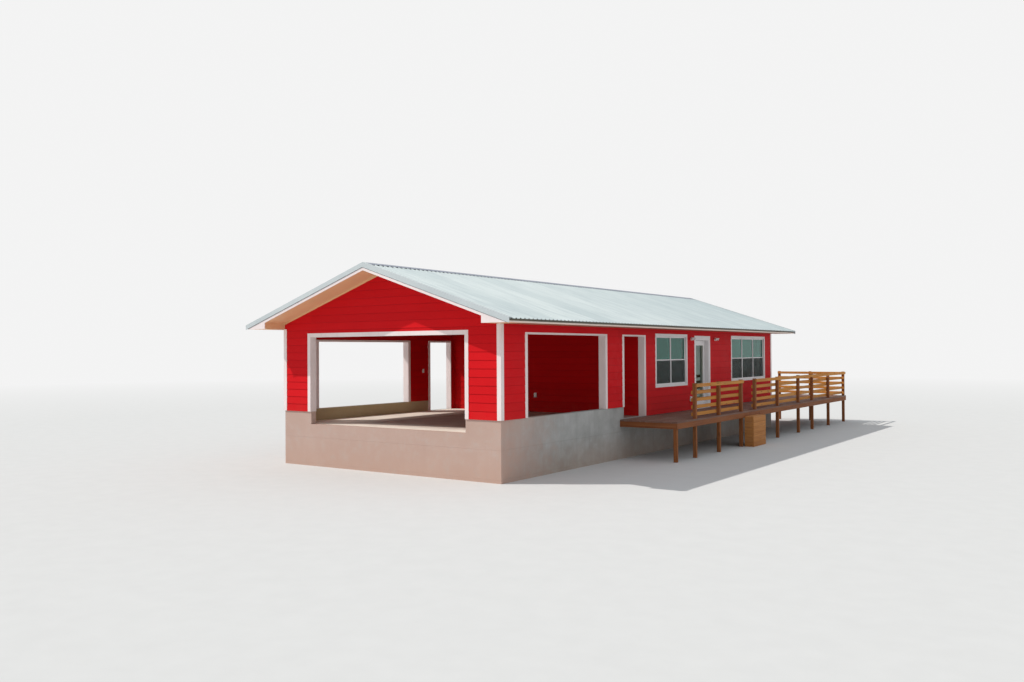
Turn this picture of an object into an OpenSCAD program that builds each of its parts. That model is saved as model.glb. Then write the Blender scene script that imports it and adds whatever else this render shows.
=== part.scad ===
// Red gable barn with an open carport, a house part and a timber deck
// Units are millimetres, +Z is up, +Y runs back along the length
// The origin is the middle of the front foot, at the lowest ground the barn stands on

/* [Body] */
// Width over the side walls
body_w = 6570; // [6400:10:6800]
// Depth of the carport from the front face to the house part
carport_l = 6500; // [6450:10:6550]
// Clear width of the right doorway beside the house part
pass_w = 1120; // [1050:10:1200]
// Clear width of the left doorway beside the house part
left_w = 970; // [900:10:1080]
// Length of the closed house part
house_l = 9910; // [9800:10:10300]
// Thickness of the outer walls
wall_t = 160; // [140:5:180]
// Height of the floors above the lowest ground
floor_z = 1000; // [900:10:1100]
// Height of the carport's concrete kerb above the floor
kerb_h = 300; // [280:5:320]
// Height of the siding from the kerb to the soffit
siding_h = 2000; // [1950:10:2100]

/* [Roof] */
// Rise of the roof in 12 parts of run
roof_rise = 4; // [3.5:0.1:4.5]
// Overhang past the end walls
end_over = 640; // [560:10:700]
// Overhang past the side walls
side_over = 600; // [520:10:640]
// Height of the eave fascia
fascia_h = 97; // [90:1:120]
// Number of ribs in the metal roof along one eave
rib_n = 116; // [100:1:120]
// Height of one rib
rib_h = 19; // [12:1:24]

/* [Openings] */
// Clear width of the front opening
front_w = 4710; // [4600:10:4800]
// Clear height of the front opening above the kerb
front_head = 1790; // [1750:5:1820]
// Start of the side openings behind the front face
wide_y = 970; // [940:10:1000]
// Clear length of the wide side openings
wide_w = 3410; // [3350:10:3450]
// Clear head of the right side openings above the kerb
head_r = 1795; // [1760:5:1820]
// Clear head of the left side openings above the kerb
head_l = 1700; // [1680:5:1740]
// Width of the casings round the openings
trim_w = 95; // [85:1:105]
// Proud thickness of all white boards
trim_t = 16; // [12:1:20]

/* [Windows] */
// Wall between the carport and the first window
win1_off = 650; // [600:10:700]
// Outer width of one window column
win_col = 1042; // [1020:2:1060]
// Wall between the second window and the rear corner
win2_off = 669; // [640:1:720]
// Bottom of the window boards above the kerb
win_z = 420; // [400:5:460]
// Top of the window boards above the kerb
win_top = 1886; // [1860:2:1900]

/* [Door] */
// Wall between the first window and the deck door's opening
door_off = 601; // [560:1:640]
// Clear width between the door's casings
door_w = 975; // [960:5:985]
// Thickness of the door leaf
leaf_t = 45; // [40:1:48]

/* [Deck] */
// Depth of the deck beside the right wall
deck_w = 1553; // [1500:1:1580]
// Length of the deck past the rear wall
deck_rear = 3860; // [3800:10:3900]
// Depth of the box step
step_d = 262; // [240:2:300]
// Height of the railing over the deck
rail_h = 890; // [860:5:930]
// Side of a square post
post = 89; // [85:1:95]
// Thickness of the deck timber
board_t = 38; // [35:1:42]

/* [Hidden] */
eps = 0.2;
hw = body_w / 2;
iw = hw - wall_t;
stem_z = floor_z + kerb_h;
soffit_z = stem_z + siding_h;
slope = roof_rise / 12;
pitch = atan(slope);
xf = hw + side_over;
deck_v = 16;
deck_gap = 5;
fascia_t = 19;
barge_t = 19;
barge_v = 156;
liner = 19;
sheet_t = 2;
rib_foot = 68;
rib_crest = 30;
drip = 75;
ridge_gap = 12;
plate_t = 3;
apex_z = soffit_z + fascia_h + xf * slope;
crest_v = (sheet_t + rib_h + 2 * eps) / cos(pitch);
slab_t = 150;

// Doorways beside the house part, and the house part's front wall
house_y = carport_l;
pass_y1 = house_y - 25;
pass_y0 = pass_y1 - pass_w;
left_y1 = pass_y0 + left_w;
body_l = house_y + house_l;
y_front = -wall_t / 2;
y0 = -end_over;
y1 = body_l + end_over;

// Places along the house part
win1_n = 2;
win2_n = 3;
win1_y = house_y + win1_off;
door_y = win1_y + win1_n * win_col + door_off;
win2_y = body_l - win2_off - win2_n * win_col;

// Door
jamb = 30;
sill_t = 25;
door_top = stem_z + 1758;
leaf_gap = 7;
leaf_y0 = door_y + jamb + leaf_gap;
leaf_y1 = door_y + door_w - jamb - leaf_gap;
leaf_z0 = floor_z + sill_t + leaf_gap;
leaf_z1 = door_top - jamb - leaf_gap;
leaf_x0 = iw;
leaf_x1 = iw + leaf_t;
hinge_r = 7;
hinge_x = iw - 8;
hinge_y = leaf_y1 + leaf_gap / 2;
hinge_h = 50;
stile = 125;
rail_top = 150;
rail_bottom = 230;
mould_w = 24;
mould_t = 8;

// Window parts
win_trim = 60;
win_frame = 45;
win_bar = 60;
win_rail = 42;
win_deep = 70;
win_in = 20;
win_mull = 22;
pane_t = 6;
sash_t = 28;
sash_w = (win_bar - win_mull) / 2;
sash_lap = 26;
sash_low_x = hw - win_in - win_deep;
sash_up_x = sash_low_x + sash_t + 2;

// Deck
deck_top = floor_z - 10;
deck_x1 = hw + deck_w;
deck_y0 = pass_y0 - 205;
deck_y1 = body_l + deck_rear;
rear_x0 = 2240;
post_x1 = deck_x1 - board_t;
post_x0 = post_x1 - post;
rim_h = 140;
joist_p = 610;
rim_z0 = deck_top - board_t - rim_h;
plank_h = 89;
plank_n = 5;
plank_p = (rail_h - plank_h - 64) / (plank_n - 1);
rail_top_z = deck_top + rail_h;
post_top = rail_top_z + 12;
posts_a = [deck_y0 + 1194, deck_y0 + 2759, door_y - 297];
end_y = deck_y1 - board_t - post;
posts_b = concat([for (d = [807, 2801, 4862, 6366, 8302]) door_y + d], [end_y]);
step_h = 140;
step_y0 = posts_a[2] + post + 20;
step_y1 = posts_b[0] - 5;

red = [0.66, 0.05, 0.05];
white = [0.93, 0.91, 0.90];
tan_paint = [0.78, 0.60, 0.42];
concrete = [0.62, 0.60, 0.57];
metal = [0.86, 0.88, 0.88];
timber = [0.72, 0.47, 0.27];

// Height of the roof deck's top at a distance from the ridge line
function top_z(x) = apex_z - abs(x) * slope;
// Height of the roof deck's underside, and of what stands under it
function under_z(x) = top_z(x) - deck_v;
function seat_z(x) = under_z(x) - eps;

// Moves the work from the front face to the frame of the part
module site() {
  translate([0, y_front, 0]) children();
}

// Box from two corners
module block(a, b) {
  translate(a) cube(b - a);
}

// Outline in X and Z drawn out along Y
module along_y(ya, yb, pts) {
  translate([0, yb, 0]) rotate([90, 0, 0]) linear_extrude(yb - ya) polygon(pts);
}

// The same piece on the left and on the right
module both_sides() {
  children();
  mirror([1, 0, 0]) children();
}

// Side wall piece on the right that reaches the roof
module side_piece(ya, yb, z) {
  along_y(ya, yb, [[iw, z], [hw, z], [hw, seat_z(hw)], [iw, seat_z(iw)]]);
}

module stem_sides() {
  color(concrete) site()
    both_sides() block([iw, wall_t, 0], [hw - 10, body_l - wall_t, floor_z]);
}

module stem_ends() {
  color(concrete) site() {
    block([-hw + 10, 10, 0], [hw - 10, wall_t, floor_z]);
    block([-hw + 10, body_l - wall_t, 0], [hw - 10, body_l - 10, floor_z]);
  }
}

module kerb_sides() {
  color(concrete) site()
    both_sides() block([iw, wall_t, floor_z], [hw - 10, pass_y0, stem_z]);
}

module kerb_front() {
  color(concrete) site()
    both_sides() block([front_w / 2, 10, floor_z], [hw - 10, wall_t, stem_z]);
}

module carport_slab() {
  color(concrete) site()
    block([-iw, wall_t, floor_z - slab_t], [iw, house_y + wall_t, floor_z]);
}

module house_floor() {
  color(concrete) site()
    block([-iw, house_y + wall_t, floor_z - slab_t], [iw, body_l - wall_t, floor_z]);
}

module front_piers() {
  color(red) site()
    both_sides() block([front_w / 2 + liner, 0, stem_z], [hw, wall_t, stem_z + front_head + liner]);
}

module front_gable() {
  z = stem_z + front_head + liner;
  color(red) site()
    along_y(0, wall_t, [[-hw, z], [hw, z], [hw, seat_z(hw)], [0, seat_z(0)], [-hw, seat_z(hw)]]);
}

module side_wall_fronts() {
  color(red) site() {
    block([iw, wall_t, stem_z], [hw, wide_y - liner, stem_z + head_r + liner]);
    block([-hw, wall_t, stem_z], [-iw, wide_y - liner, stem_z + head_l + liner]);
  }
}

module side_wall_mids() {
  ya = wide_y + wide_w + liner;
  yb = pass_y0 - liner;
  color(red) site() {
    block([iw, ya, stem_z], [hw, yb, stem_z + head_r + liner]);
    block([-hw, ya, stem_z], [-iw, yb, stem_z + head_l + liner]);
  }
}

module side_wall_heads() {
  color(red) site() {
    side_piece(wall_t, pass_y1 + liner, stem_z + head_r + liner);
    mirror([1, 0, 0]) side_piece(wall_t, left_y1 + liner, stem_z + head_l + liner);
  }
}

// Hole for one window in the right wall
module window_hole(y, n) {
  block([iw - 50, y + win_trim, stem_z + win_z + win_trim],
        [hw + 50, y + n * win_col - win_trim, stem_z + win_top - win_trim]);
}

module right_wall_bay() {
  color(red) site() difference() {
    side_piece(pass_y1 + liner, door_y, floor_z);
    window_hole(win1_y, win1_n);
  }
}

module right_wall_door_head() {
  color(red) site()
    side_piece(door_y, door_y + door_w, door_top);
}

module right_wall_rear() {
  color(red) site() difference() {
    side_piece(door_y + door_w, body_l - wall_t, floor_z);
    window_hole(win2_y, win2_n);
  }
}

module left_wall_house() {
  color(red) site() mirror([1, 0, 0]) difference() {
    side_piece(left_y1 + liner, body_l - wall_t, floor_z);
    window_hole(win1_y, win1_n);
    window_hole(win2_y, win2_n);
  }
}

module rear_wall() {
  color(red) site()
    along_y(body_l - wall_t, body_l,
      [[-hw, floor_z], [hw, floor_z], [hw, seat_z(hw)], [0, seat_z(0)], [-hw, seat_z(hw)]]);
}

module house_front_wall() {
  color(red) site()
    along_y(house_y, house_y + wall_t,
      [[-iw, floor_z], [iw, floor_z], [iw, seat_z(iw)], [0, seat_z(0)], [-iw, seat_z(iw)]]);
}

module roof_deck() {
  color(timber) site()
    both_sides() along_y(y0 + barge_t, y1 - barge_t,
      [[deck_gap, under_z(deck_gap)], [xf, under_z(xf)], [xf, top_z(xf)], [deck_gap, top_z(deck_gap)]]);
}

// Ribbed sheet in the slope's own frame, drawn out down the slope
module ribbed_sheet() {
  len_s = (xf + drip) / cos(pitch);
  p = (y1 - y0) / rib_n;
  rb = rib_foot;
  rt = rib_crest;
  upper = [for (i = [0 : rib_n - 1]) for (q = [[-rb, 0], [-rt, rib_h], [rt, rib_h], [rb, 0]])
    [y0 + (i + 0.5) * p + q[0] / 2, sheet_t + q[1]]];
  lower = [for (i = [rib_n - 1 : -1 : 0]) for (q = [[rb - 3, 0], [rt - 2, rib_h], [2 - rt, rib_h], [3 - rb, 0]])
    [y0 + (i + 0.5) * p + q[0] / 2, q[1]]];
  pts = concat([[y0, 0], [y0, sheet_t]], upper, [[y1, sheet_t], [y1, 0]], lower);
  translate([0, 0, apex_z]) rotate([0, pitch, 0])
    translate([ridge_gap, 0, eps]) rotate([90, 0, 90]) linear_extrude(len_s - ridge_gap) polygon(pts);
}

module roof_sheet_left() {
  color(metal) site() mirror([1, 0, 0]) ribbed_sheet();
}

module roof_sheet_right() {
  color(metal) site() ribbed_sheet();
}

// Folded strip over the ridge, from one height above the crests to another
function fold(half, za, zb) = [
  [0, apex_z + za], [half, top_z(half) + za], [half, top_z(half) + zb],
  [0, apex_z + zb], [-half, top_z(half) + zb], [-half, top_z(half) + za]
];
cap_half = 165;
rake_w = 100;
rake_face = 112;
rake_hem = 10;

module ridge_cap() {
  color(metal) site()
    along_y(y0 + rake_w, y1 - rake_w, fold(cap_half, crest_v, crest_v + plate_t));
}

// Flashing on one end: a face plate with a drip hem, and a flange that lies on the ribs
module rake(y, inward) {
  xe = xf + drip - 5;
  z_low = crest_v + plate_t - rake_face;
  ya = inward > 0 ? y - plate_t : y;
  fa = inward > 0 ? y - plate_t : y - rake_w;
  ha = inward > 0 ? y - plate_t - rake_hem : y;
  along_y(ya, ya + plate_t, fold(xe, z_low, crest_v + plate_t));
  along_y(fa, fa + rake_w + plate_t, fold(xe, crest_v, crest_v + plate_t));
  along_y(ha, ha + rake_hem + plate_t, fold(xe, z_low, z_low + plate_t));
}

module rake_trims() {
  color(metal) site() {
    rake(y0, 1);
    rake(y1, -1);
  }
}

// Sloping board with the boxed return at its foot
module barge(y) {
  xi = hw - 20;
  along_y(y, y + barge_t,
    [[0.5, top_z(0.5) - eps], [0.5, top_z(0.5) - barge_v], [xi, top_z(xi) - barge_v],
     [xi, soffit_z], [xf, soffit_z], [xf, top_z(xf) - eps]]);
}

module barge_boards() {
  color(white) site() both_sides() {
    barge(y0);
    barge(y1 - barge_t);
  }
}

module fascias() {
  color(tan_paint) site() both_sides()
    along_y(y0 + barge_t, y1 - barge_t,
      [[xf - fascia_t, soffit_z], [xf, soffit_z], [xf, seat_z(xf)], [xf - fascia_t, seat_z(xf - fascia_t)]]);
}

// Sloping soffit, its narrow frieze and the inner side of the box at one corner
module rake_soffit(ya, yb, yw) {
  v0 = barge_v - 6;
  xi = hw - 20;
  along_y(ya, yb, [[0.5, top_z(0.5) - v0], [xi, top_z(xi) - v0], [xi, top_z(xi) - v0 + 10], [0.5, top_z(0.5) - v0 + 10]]);
  fa = yw < body_l / 2 ? yw - 12 : yw;
  along_y(fa, fa + 12,
    [[0.5, top_z(0.5) - v0 - eps - 45], [xi - eps, top_z(xi) - v0 - eps - 45],
     [xi - eps, top_z(xi) - v0 - eps], [0.5, top_z(0.5) - v0 - eps]]);
  along_y(ya, yb, [[xi, soffit_z + 10 + eps], [xi + 10, soffit_z + 10 + eps],
    [xi + 10, top_z(xi + 10) - v0 - eps], [xi, top_z(xi) - v0 - eps]]);
}

module soffits() {
  color(tan_paint) site() both_sides() {
    block([hw, 0, soffit_z], [xf - fascia_t, body_l, soffit_z + 10]);
    block([hw - 20, y0 + barge_t, soffit_z], [xf - fascia_t, 0, soffit_z + 10]);
    block([hw - 20, body_l, soffit_z], [xf - fascia_t, y1 - barge_t, soffit_z + 10]);
    rake_soffit(y0 + barge_t, 0, 0);
    rake_soffit(body_l, y1 - barge_t, body_l);
  }
}

// Corner board of two faces, the outer corner on the right front
module corner_board(z) {
  w = 90;
  block([hw - w, -trim_t, z], [hw + trim_t, 0, soffit_z]);
  block([hw, 0, z], [hw + trim_t, w, soffit_z]);
}

module corner_boards() {
  color(white) site() both_sides() {
    corner_board(stem_z);
    translate([0, body_l, 0]) mirror([0, 1, 0]) corner_board(floor_z);
  }
}

// Casing of an opening in a wall that faces along Y
module casing_y(xa, xb, za, zt, ya, yb) {
  block([xa - liner, ya, za], [xa, yb, zt + liner]);
  block([xb, ya, za], [xb + liner, yb, zt + liner]);
  block([xa - liner, ya, zt], [xb + liner, yb, zt + liner]);
  for (y = [ya - trim_t, yb]) {
    block([xa - trim_w, y, za], [xa, y + trim_t, zt + trim_w]);
    block([xb, y, za], [xb + trim_w, y + trim_t, zt + trim_w]);
    block([xa - trim_w, y, zt], [xb + trim_w, y + trim_t, zt + trim_w]);
  }
}

// Casing of an opening in the right wall, its two jambs standing at different heights
module casing_x(ya, yb, z_near, z_far, zt, wt) {
  block([iw, ya - liner, z_near], [hw, ya, zt + liner]);
  block([iw, yb, z_far], [hw, yb + liner, zt + liner]);
  block([iw, ya - liner, zt], [hw, yb + liner, zt + liner]);
  block([hw, ya - trim_w, z_near], [hw + trim_t, ya, zt + wt]);
  block([hw, yb, z_far], [hw + trim_t, yb + trim_w, zt + wt]);
  block([hw, ya - trim_w, zt], [hw + trim_t, yb + trim_w, zt + wt]);
}

// Inner casing of the wide opening, on the carport's side
module casing_in(ya, yb, z, zt, wt) {
  block([iw - trim_t, ya - trim_w, z], [iw, ya, zt + wt]);
  block([iw - trim_t, yb, z], [iw, yb + trim_w, zt + wt]);
  block([iw - trim_t, ya - trim_w, zt], [iw, yb + trim_w, zt + wt]);
}

// Inner casing of a doorway, without a board at the far jamb, which stands in the corner
module casing_door(yb, zt, wt) {
  block([iw - trim_t, pass_y0 - trim_w, floor_z], [iw, pass_y0, zt + wt]);
  block([iw - trim_t, pass_y0 - trim_w, zt], [iw, yb, zt + wt]);
}

module opening_casings() {
  yw = wide_y + wide_w;
  color(white) site() {
    casing_y(-front_w / 2, front_w / 2, stem_z, stem_z + front_head, 0, wall_t);
    casing_x(wide_y, yw, stem_z, stem_z, stem_z + head_r, 40);
    casing_in(wide_y, yw, stem_z, stem_z + head_r, 40);
    casing_x(pass_y0, pass_y1, stem_z, floor_z, stem_z + head_r, 40);
    casing_door(pass_y1, stem_z + head_r, 40);
    mirror([1, 0, 0]) {
      casing_x(wide_y, yw, stem_z, stem_z, stem_z + head_l, 50);
      casing_in(wide_y, yw, stem_z, stem_z + head_l, 50);
      casing_x(pass_y0, left_y1, stem_z, floor_z, stem_z + head_l, 50);
      casing_door(left_y1, stem_z + head_l, 50);
    }
  }
}

// Edges of the window columns between the frame's members
function col_a(y, n, i) = y + win_trim + (i == 0 ? win_frame : i * (n * win_col - 2 * win_trim) / n + win_bar / 2);
function col_b(y, n, i) =
  y + win_trim + (i == n - 1 ? n * win_col - 2 * win_trim - win_frame
    : (i + 1) * (n * win_col - 2 * win_trim) / n - win_bar / 2);
sash_z0 = stem_z + win_z + win_trim + win_frame;
sash_z1 = stem_z + win_top - win_trim - win_frame;
sash_m = (sash_z0 + sash_z1) / 2;

// Ring of rails and stiles round the glass of one sash, set a little into the frame
module sash(x, ya, yb, za, zb, low, top) {
  difference() {
    block([x, ya - sash_w - 1, za - low], [x + sash_t, yb + sash_w + 1, zb + top]);
    block([x - 50, ya, za], [x + 50, yb, zb]);
  }
}

// White boards, frame and sashes of one window on the right wall, the upper sash the outer one
module window_frame(y, n) {
  za = stem_z + win_z;
  zb = stem_z + win_top;
  yb = y + n * win_col;
  difference() {
    union() {
      block([hw, y, za], [hw + trim_t, yb, zb]);
      block([sash_low_x, y + win_trim, za + win_trim], [hw, yb - win_trim, zb - win_trim]);
    }
    block([hw - win_in, y + win_trim + 12, za + win_trim + 12], [hw + 50, yb - win_trim - 12, zb - win_trim - 12]);
    for (i = [0 : n - 1])
      block([hw - 200, col_a(y, n, i) - sash_w, sash_z0 - sash_w], [hw + 50, col_b(y, n, i) + sash_w, sash_z1 + sash_w]);
  }
  for (i = [0 : n - 1]) {
    ya = col_a(y, n, i);
    ye = col_b(y, n, i);
    sash(sash_low_x, ya, ye, sash_z0, sash_m - win_rail / 2, sash_w + 1, sash_lap);
    sash(sash_up_x, ya, ye, sash_m + win_rail / 2, sash_z1, sash_lap, sash_w + 1);
  }
}

module window_frames() {
  color(white) site() both_sides() {
    window_frame(win1_y, win1_n);
    window_frame(win2_y, win2_n);
  }
}

module window_panes(y, n) {
  xl = sash_low_x + (sash_t - pane_t) / 2;
  xu = sash_up_x + (sash_t - pane_t) / 2;
  for (i = [0 : n - 1]) {
    block([xl, col_a(y, n, i), sash_z0], [xl + pane_t, col_b(y, n, i), sash_m - win_rail / 2]);
    block([xu, col_a(y, n, i), sash_m + win_rail / 2], [xu + pane_t, col_b(y, n, i), sash_z1]);
  }
}

module window_glass() {
  color([0.5, 0.6, 0.65, 0.5]) site() both_sides() {
    window_panes(win1_y, win1_n);
    window_panes(win2_y, win2_n);
  }
}

module door_frame() {
  ya = door_y;
  yb = door_y + door_w;
  color(white) site() {
    block([iw, ya, floor_z], [hw, ya + jamb, door_top]);
    block([iw, yb - jamb, floor_z], [hw, yb, door_top]);
    block([iw, ya, door_top - jamb], [hw, yb, door_top]);
    block([hw, ya - trim_w, floor_z], [hw + trim_t, ya, door_top + trim_w]);
    block([hw, yb, floor_z], [hw + trim_t, yb + trim_w, door_top + trim_w]);
    block([hw, ya - trim_w, door_top], [hw + trim_t, yb + trim_w, door_top + trim_w]);
    block([iw + 5, ya + jamb, floor_z], [hw + trim_t, yb - jamb, floor_z + sill_t]);
  }
}

// Leaf with one large lite and a raised moulding round it on both faces
module door_leaf() {
  ya = leaf_y0 + stile;
  yb = leaf_y1 - stile;
  za = leaf_z0 + rail_bottom;
  zb = leaf_z1 - rail_top;
  m = mould_w;
  color(white) site() difference() {
    union() {
      block([leaf_x0, leaf_y0, leaf_z0], [leaf_x1, leaf_y1, leaf_z1]);
      block([leaf_x0 - mould_t, ya - m, za - m], [leaf_x1 + mould_t, yb + m, zb + m]);
    }
    block([leaf_x0 - 50, ya, za], [leaf_x1 + 50, yb, zb]);
  }
}

// Half of each hinge: a knuckle and the plate that holds it
module hinge_half(side) {
  gap = 0.15;
  for (z = [leaf_z0 + 220, (leaf_z0 + leaf_z1) / 2, leaf_z1 - 180]) {
    za = side > 0 ? z - hinge_h : z + gap;
    translate([hinge_x, hinge_y, za]) cylinder(h = hinge_h - gap, r = hinge_r, $fn = 24);
    block([iw - 3, side > 0 ? hinge_y : hinge_y - 42, za], [iw, side > 0 ? hinge_y + 30 : hinge_y, za + hinge_h - gap]);
  }
}

module hinge_fixed() {
  color([0.6, 0.6, 0.6]) site() hinge_half(1);
}

module hinge_moving() {
  color([0.6, 0.6, 0.6]) site() hinge_half(-1);
}

module door_glass() {
  x = (leaf_x0 + leaf_x1) / 2;
  color([0.5, 0.6, 0.65, 0.5]) site()
    block([x - 5, leaf_y0 + stile, leaf_z0 + rail_bottom], [x + 5, leaf_y1 - stile, leaf_z1 - rail_top]);
}

module door_handle() {
  y = leaf_y0 + 60;
  z = floor_z + 960;
  color([0.35, 0.35, 0.36]) site() for (s = [0, 1]) {
    x = s == 0 ? leaf_x1 : leaf_x0 - 8;
    block([x, y - 22, z - 110], [x + 8, y + 22, z + 110]);
    xs = s == 0 ? leaf_x1 + 8 : leaf_x0 - 8 - 40;
    translate([xs, y, z]) rotate([0, 90, 0]) cylinder(h = 40, r = 9, $fn = 24);
    xh = s == 0 ? leaf_x1 + 48 - 16 : leaf_x0 - 48;
    translate([xh, y - 9, z - 9]) cube([16, 130, 18]);
  }
}

// Places of the posts that rise through the deck, as their low corners
rail_posts = concat([for (y = concat(posts_a, posts_b)) [post_x0, y]],
  [[rear_x0 + board_t, end_y], [(rear_x0 + post_x0) / 2, end_y]]);

module deck_boards() {
  z0 = deck_top - board_t;
  color(timber) site() difference() {
    union() {
      block([hw - 10, deck_y0, z0], [deck_x1, deck_y1, deck_top]);
      block([rear_x0, body_l - 10, z0], [hw, deck_y1, deck_top]);
    }
    for (q = rail_posts)
      block([q[0], q[1], z0 - 1], [q[0] + post, q[1] + post, deck_top + 1]);
  }
}

// Rim boards under the edge of the deck, ledgers and joists, each board by itself
module deck_frame() {
  z1 = deck_top - board_t;
  xi = hw - 10;
  yi = body_l - 10;
  xj = xi + board_t + eps;
  yj = deck_y1 - board_t - eps;
  color(timber) site() {
    block([post_x1, deck_y0, rim_z0], [deck_x1, deck_y1, z1]);
    block([xi, deck_y0, rim_z0], [post_x1 - eps, deck_y0 + board_t, z1]);
    block([rear_x0, deck_y1 - board_t, rim_z0], [post_x1 - eps, deck_y1, z1]);
    block([xi, deck_y0 + board_t + eps, rim_z0], [xi + board_t, yj, z1]);
    block([rear_x0, yi, rim_z0], [rear_x0 + board_t, yj, z1]);
    block([rear_x0 + board_t + eps, yi, rim_z0], [xi - eps, yi + board_t, z1]);
    for (y = [deck_y0 + joist_p : joist_p : deck_y1 - joist_p])
      if (min([for (q = concat(posts_a, posts_b)) abs(q + post / 2 - y - board_t / 2)]) > post)
        block([xj, y, rim_z0], [post_x1 - eps, y + board_t, z1]);
    for (y = [yi + joist_p : joist_p : deck_y1 - joist_p])
      if (abs((yi + end_y) / 2 + post / 2 - y - board_t / 2) > post)
        block([rear_x0 + board_t + eps, y, rim_z0], [xi - eps, y + board_t, z1]);
  }
}

module deck_posts() {
  z1 = deck_top - board_t;
  color(timber) site() {
    for (q = rail_posts)
      block([q[0], q[1], 0], [q[0] + post, q[1] + post, post_top]);
    block([post_x0, deck_y0 + board_t, 0], [post_x1, deck_y0 + board_t + post, z1]);
    for (y = [body_l - 10 + board_t, (body_l - 10 + end_y) / 2])
      block([rear_x0 + board_t, y, 0], [rear_x0 + board_t + post, y + post, z1]);
  }
}

// Run of planks along Y, the top one outside the posts and the others inside
module rail_run(ya, yb, yt) {
  for (i = [0 : plank_n - 1]) {
    z = rail_top_z - i * plank_p - plank_h;
    x = i == 0 ? post_x1 : post_x0 - board_t;
    block([x, ya, z], [x + board_t, i == 0 ? yt : yb, z + plank_h]);
  }
}

module railings() {
  color(timber) site() {
    rail_run(posts_a[0], posts_a[2] + post, posts_a[2] + post);
    rail_run(posts_b[0], end_y - board_t - eps, end_y + post);
    for (i = [0 : plank_n - 1]) {
      z = rail_top_z - i * plank_p - plank_h;
      block([rear_x0 + board_t, end_y - board_t, z], [post_x1 - eps, end_y, z + plank_h]);
    }
  }
}

module box_step() {
  z1 = deck_top - step_h;
  x1 = deck_x1 + step_d;
  color(timber) site() {
    block([deck_x1, step_y0, z1 - board_t], [x1, step_y1, z1]);
    block([x1 - board_t, step_y0, 0], [x1, step_y1, z1 - board_t]);
    for (y = [step_y0, step_y1 - board_t])
      block([deck_x1, y, 0], [x1 - board_t, y + board_t, z1 - board_t]);
  }
}

// Lamp with two heads on a round base, its middle on the right wall
lamp_z = stem_z + 1765;
lamp_base_r = 55;
lamp_base_t = 25;
lamp_arm = 30;
lamp_r = 44;
lamp_l = 75;
lamp_gap = 62;
lamp_tilt = 112;
lamp_off = 500;

module floodlight(y) {
  translate([hw, y, lamp_z]) rotate([0, 90, 0]) cylinder(h = lamp_base_t, r = lamp_base_r, $fn = 36);
  translate([hw + lamp_base_t, y - lamp_arm + 5, lamp_z - lamp_arm / 2])
    cube([lamp_arm, 2 * lamp_arm - 10, lamp_arm]);
  for (s = [-1, 1])
    translate([hw + lamp_base_t + lamp_arm - 7, y + s * lamp_gap, lamp_z + 10]) rotate([0, lamp_tilt, 0]) union() {
      translate([0, 0, -15]) cylinder(h = lamp_l, r1 = lamp_r * 0.68, r2 = lamp_r, $fn = 32);
      translate([-lamp_arm / 2, -s * (lamp_r + 1) - lamp_arm / 2, -10]) cube([lamp_arm, lamp_arm, lamp_arm]);
    }
}

module floodlights() {
  color(white) site() {
    floodlight((win1_y + win1_n * win_col + door_y) / 2);
    floodlight(door_y + door_w + lamp_off);
  }
}

// Cover plates: beside the door, on the carport's rear wall and on its left wall
cover_w = 80;
cover_h = 130;
cover_t = 45;
switch_w = 72;
switch_t = 8;
switch_y = pass_y0 - 355;
outlet_x = -200;
outlet_z = stem_z + 111;

module outlet_covers() {
  y = door_y - 405;
  color(white) site() {
    block([hw, y - cover_w / 2, stem_z - 55], [hw + cover_t + 10, y + cover_w / 2, stem_z - 40 + cover_h]);
    block([outlet_x, house_y - cover_t, outlet_z], [outlet_x + cover_w, house_y, outlet_z + cover_h]);
    block([-iw, switch_y, stem_z + 815], [-iw + switch_t, switch_y + switch_w, stem_z + 930]);
  }
}

stem_sides();
stem_ends();
kerb_sides();
kerb_front();
carport_slab();
house_floor();
front_piers();
front_gable();
side_wall_fronts();
side_wall_mids();
side_wall_heads();
right_wall_bay();
right_wall_door_head();
right_wall_rear();
left_wall_house();
rear_wall();
house_front_wall();
roof_deck();
roof_sheet_left();
roof_sheet_right();
ridge_cap();
rake_trims();
barge_boards();
fascias();
soffits();
corner_boards();
opening_casings();
window_frames();
window_glass();
door_frame();
hinge_fixed();
door_leaf();
hinge_moving();
door_glass();
door_handle();
deck_boards();
deck_frame();
deck_posts();
railings();
box_step();
floodlights();
outlet_covers();
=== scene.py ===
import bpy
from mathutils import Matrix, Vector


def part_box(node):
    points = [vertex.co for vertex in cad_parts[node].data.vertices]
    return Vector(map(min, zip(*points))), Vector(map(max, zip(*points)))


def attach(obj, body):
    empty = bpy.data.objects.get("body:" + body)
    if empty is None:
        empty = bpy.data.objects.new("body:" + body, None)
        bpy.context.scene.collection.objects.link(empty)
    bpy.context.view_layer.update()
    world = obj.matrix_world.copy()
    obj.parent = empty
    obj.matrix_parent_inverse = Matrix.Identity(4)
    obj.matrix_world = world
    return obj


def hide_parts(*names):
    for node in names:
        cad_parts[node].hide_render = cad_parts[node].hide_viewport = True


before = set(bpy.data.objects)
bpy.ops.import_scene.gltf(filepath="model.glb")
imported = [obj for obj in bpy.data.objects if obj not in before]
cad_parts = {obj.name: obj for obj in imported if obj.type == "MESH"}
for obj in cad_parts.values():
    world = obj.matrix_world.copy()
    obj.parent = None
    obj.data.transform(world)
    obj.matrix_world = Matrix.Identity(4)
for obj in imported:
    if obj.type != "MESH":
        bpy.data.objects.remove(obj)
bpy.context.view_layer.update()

import math
import random

import bmesh
import bpy
from mathutils import Matrix, Vector

# Sizes are in mm: X to the right, Y back from the front face, Z up from the lowest ground
MM = 0.001
Y_FRONT = 80


def to_row(p):
    """Point in mm from the front face to metres in the frame."""
    return (p[0] * MM, (p[1] - Y_FRONT) * MM, p[2] * MM)


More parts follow.
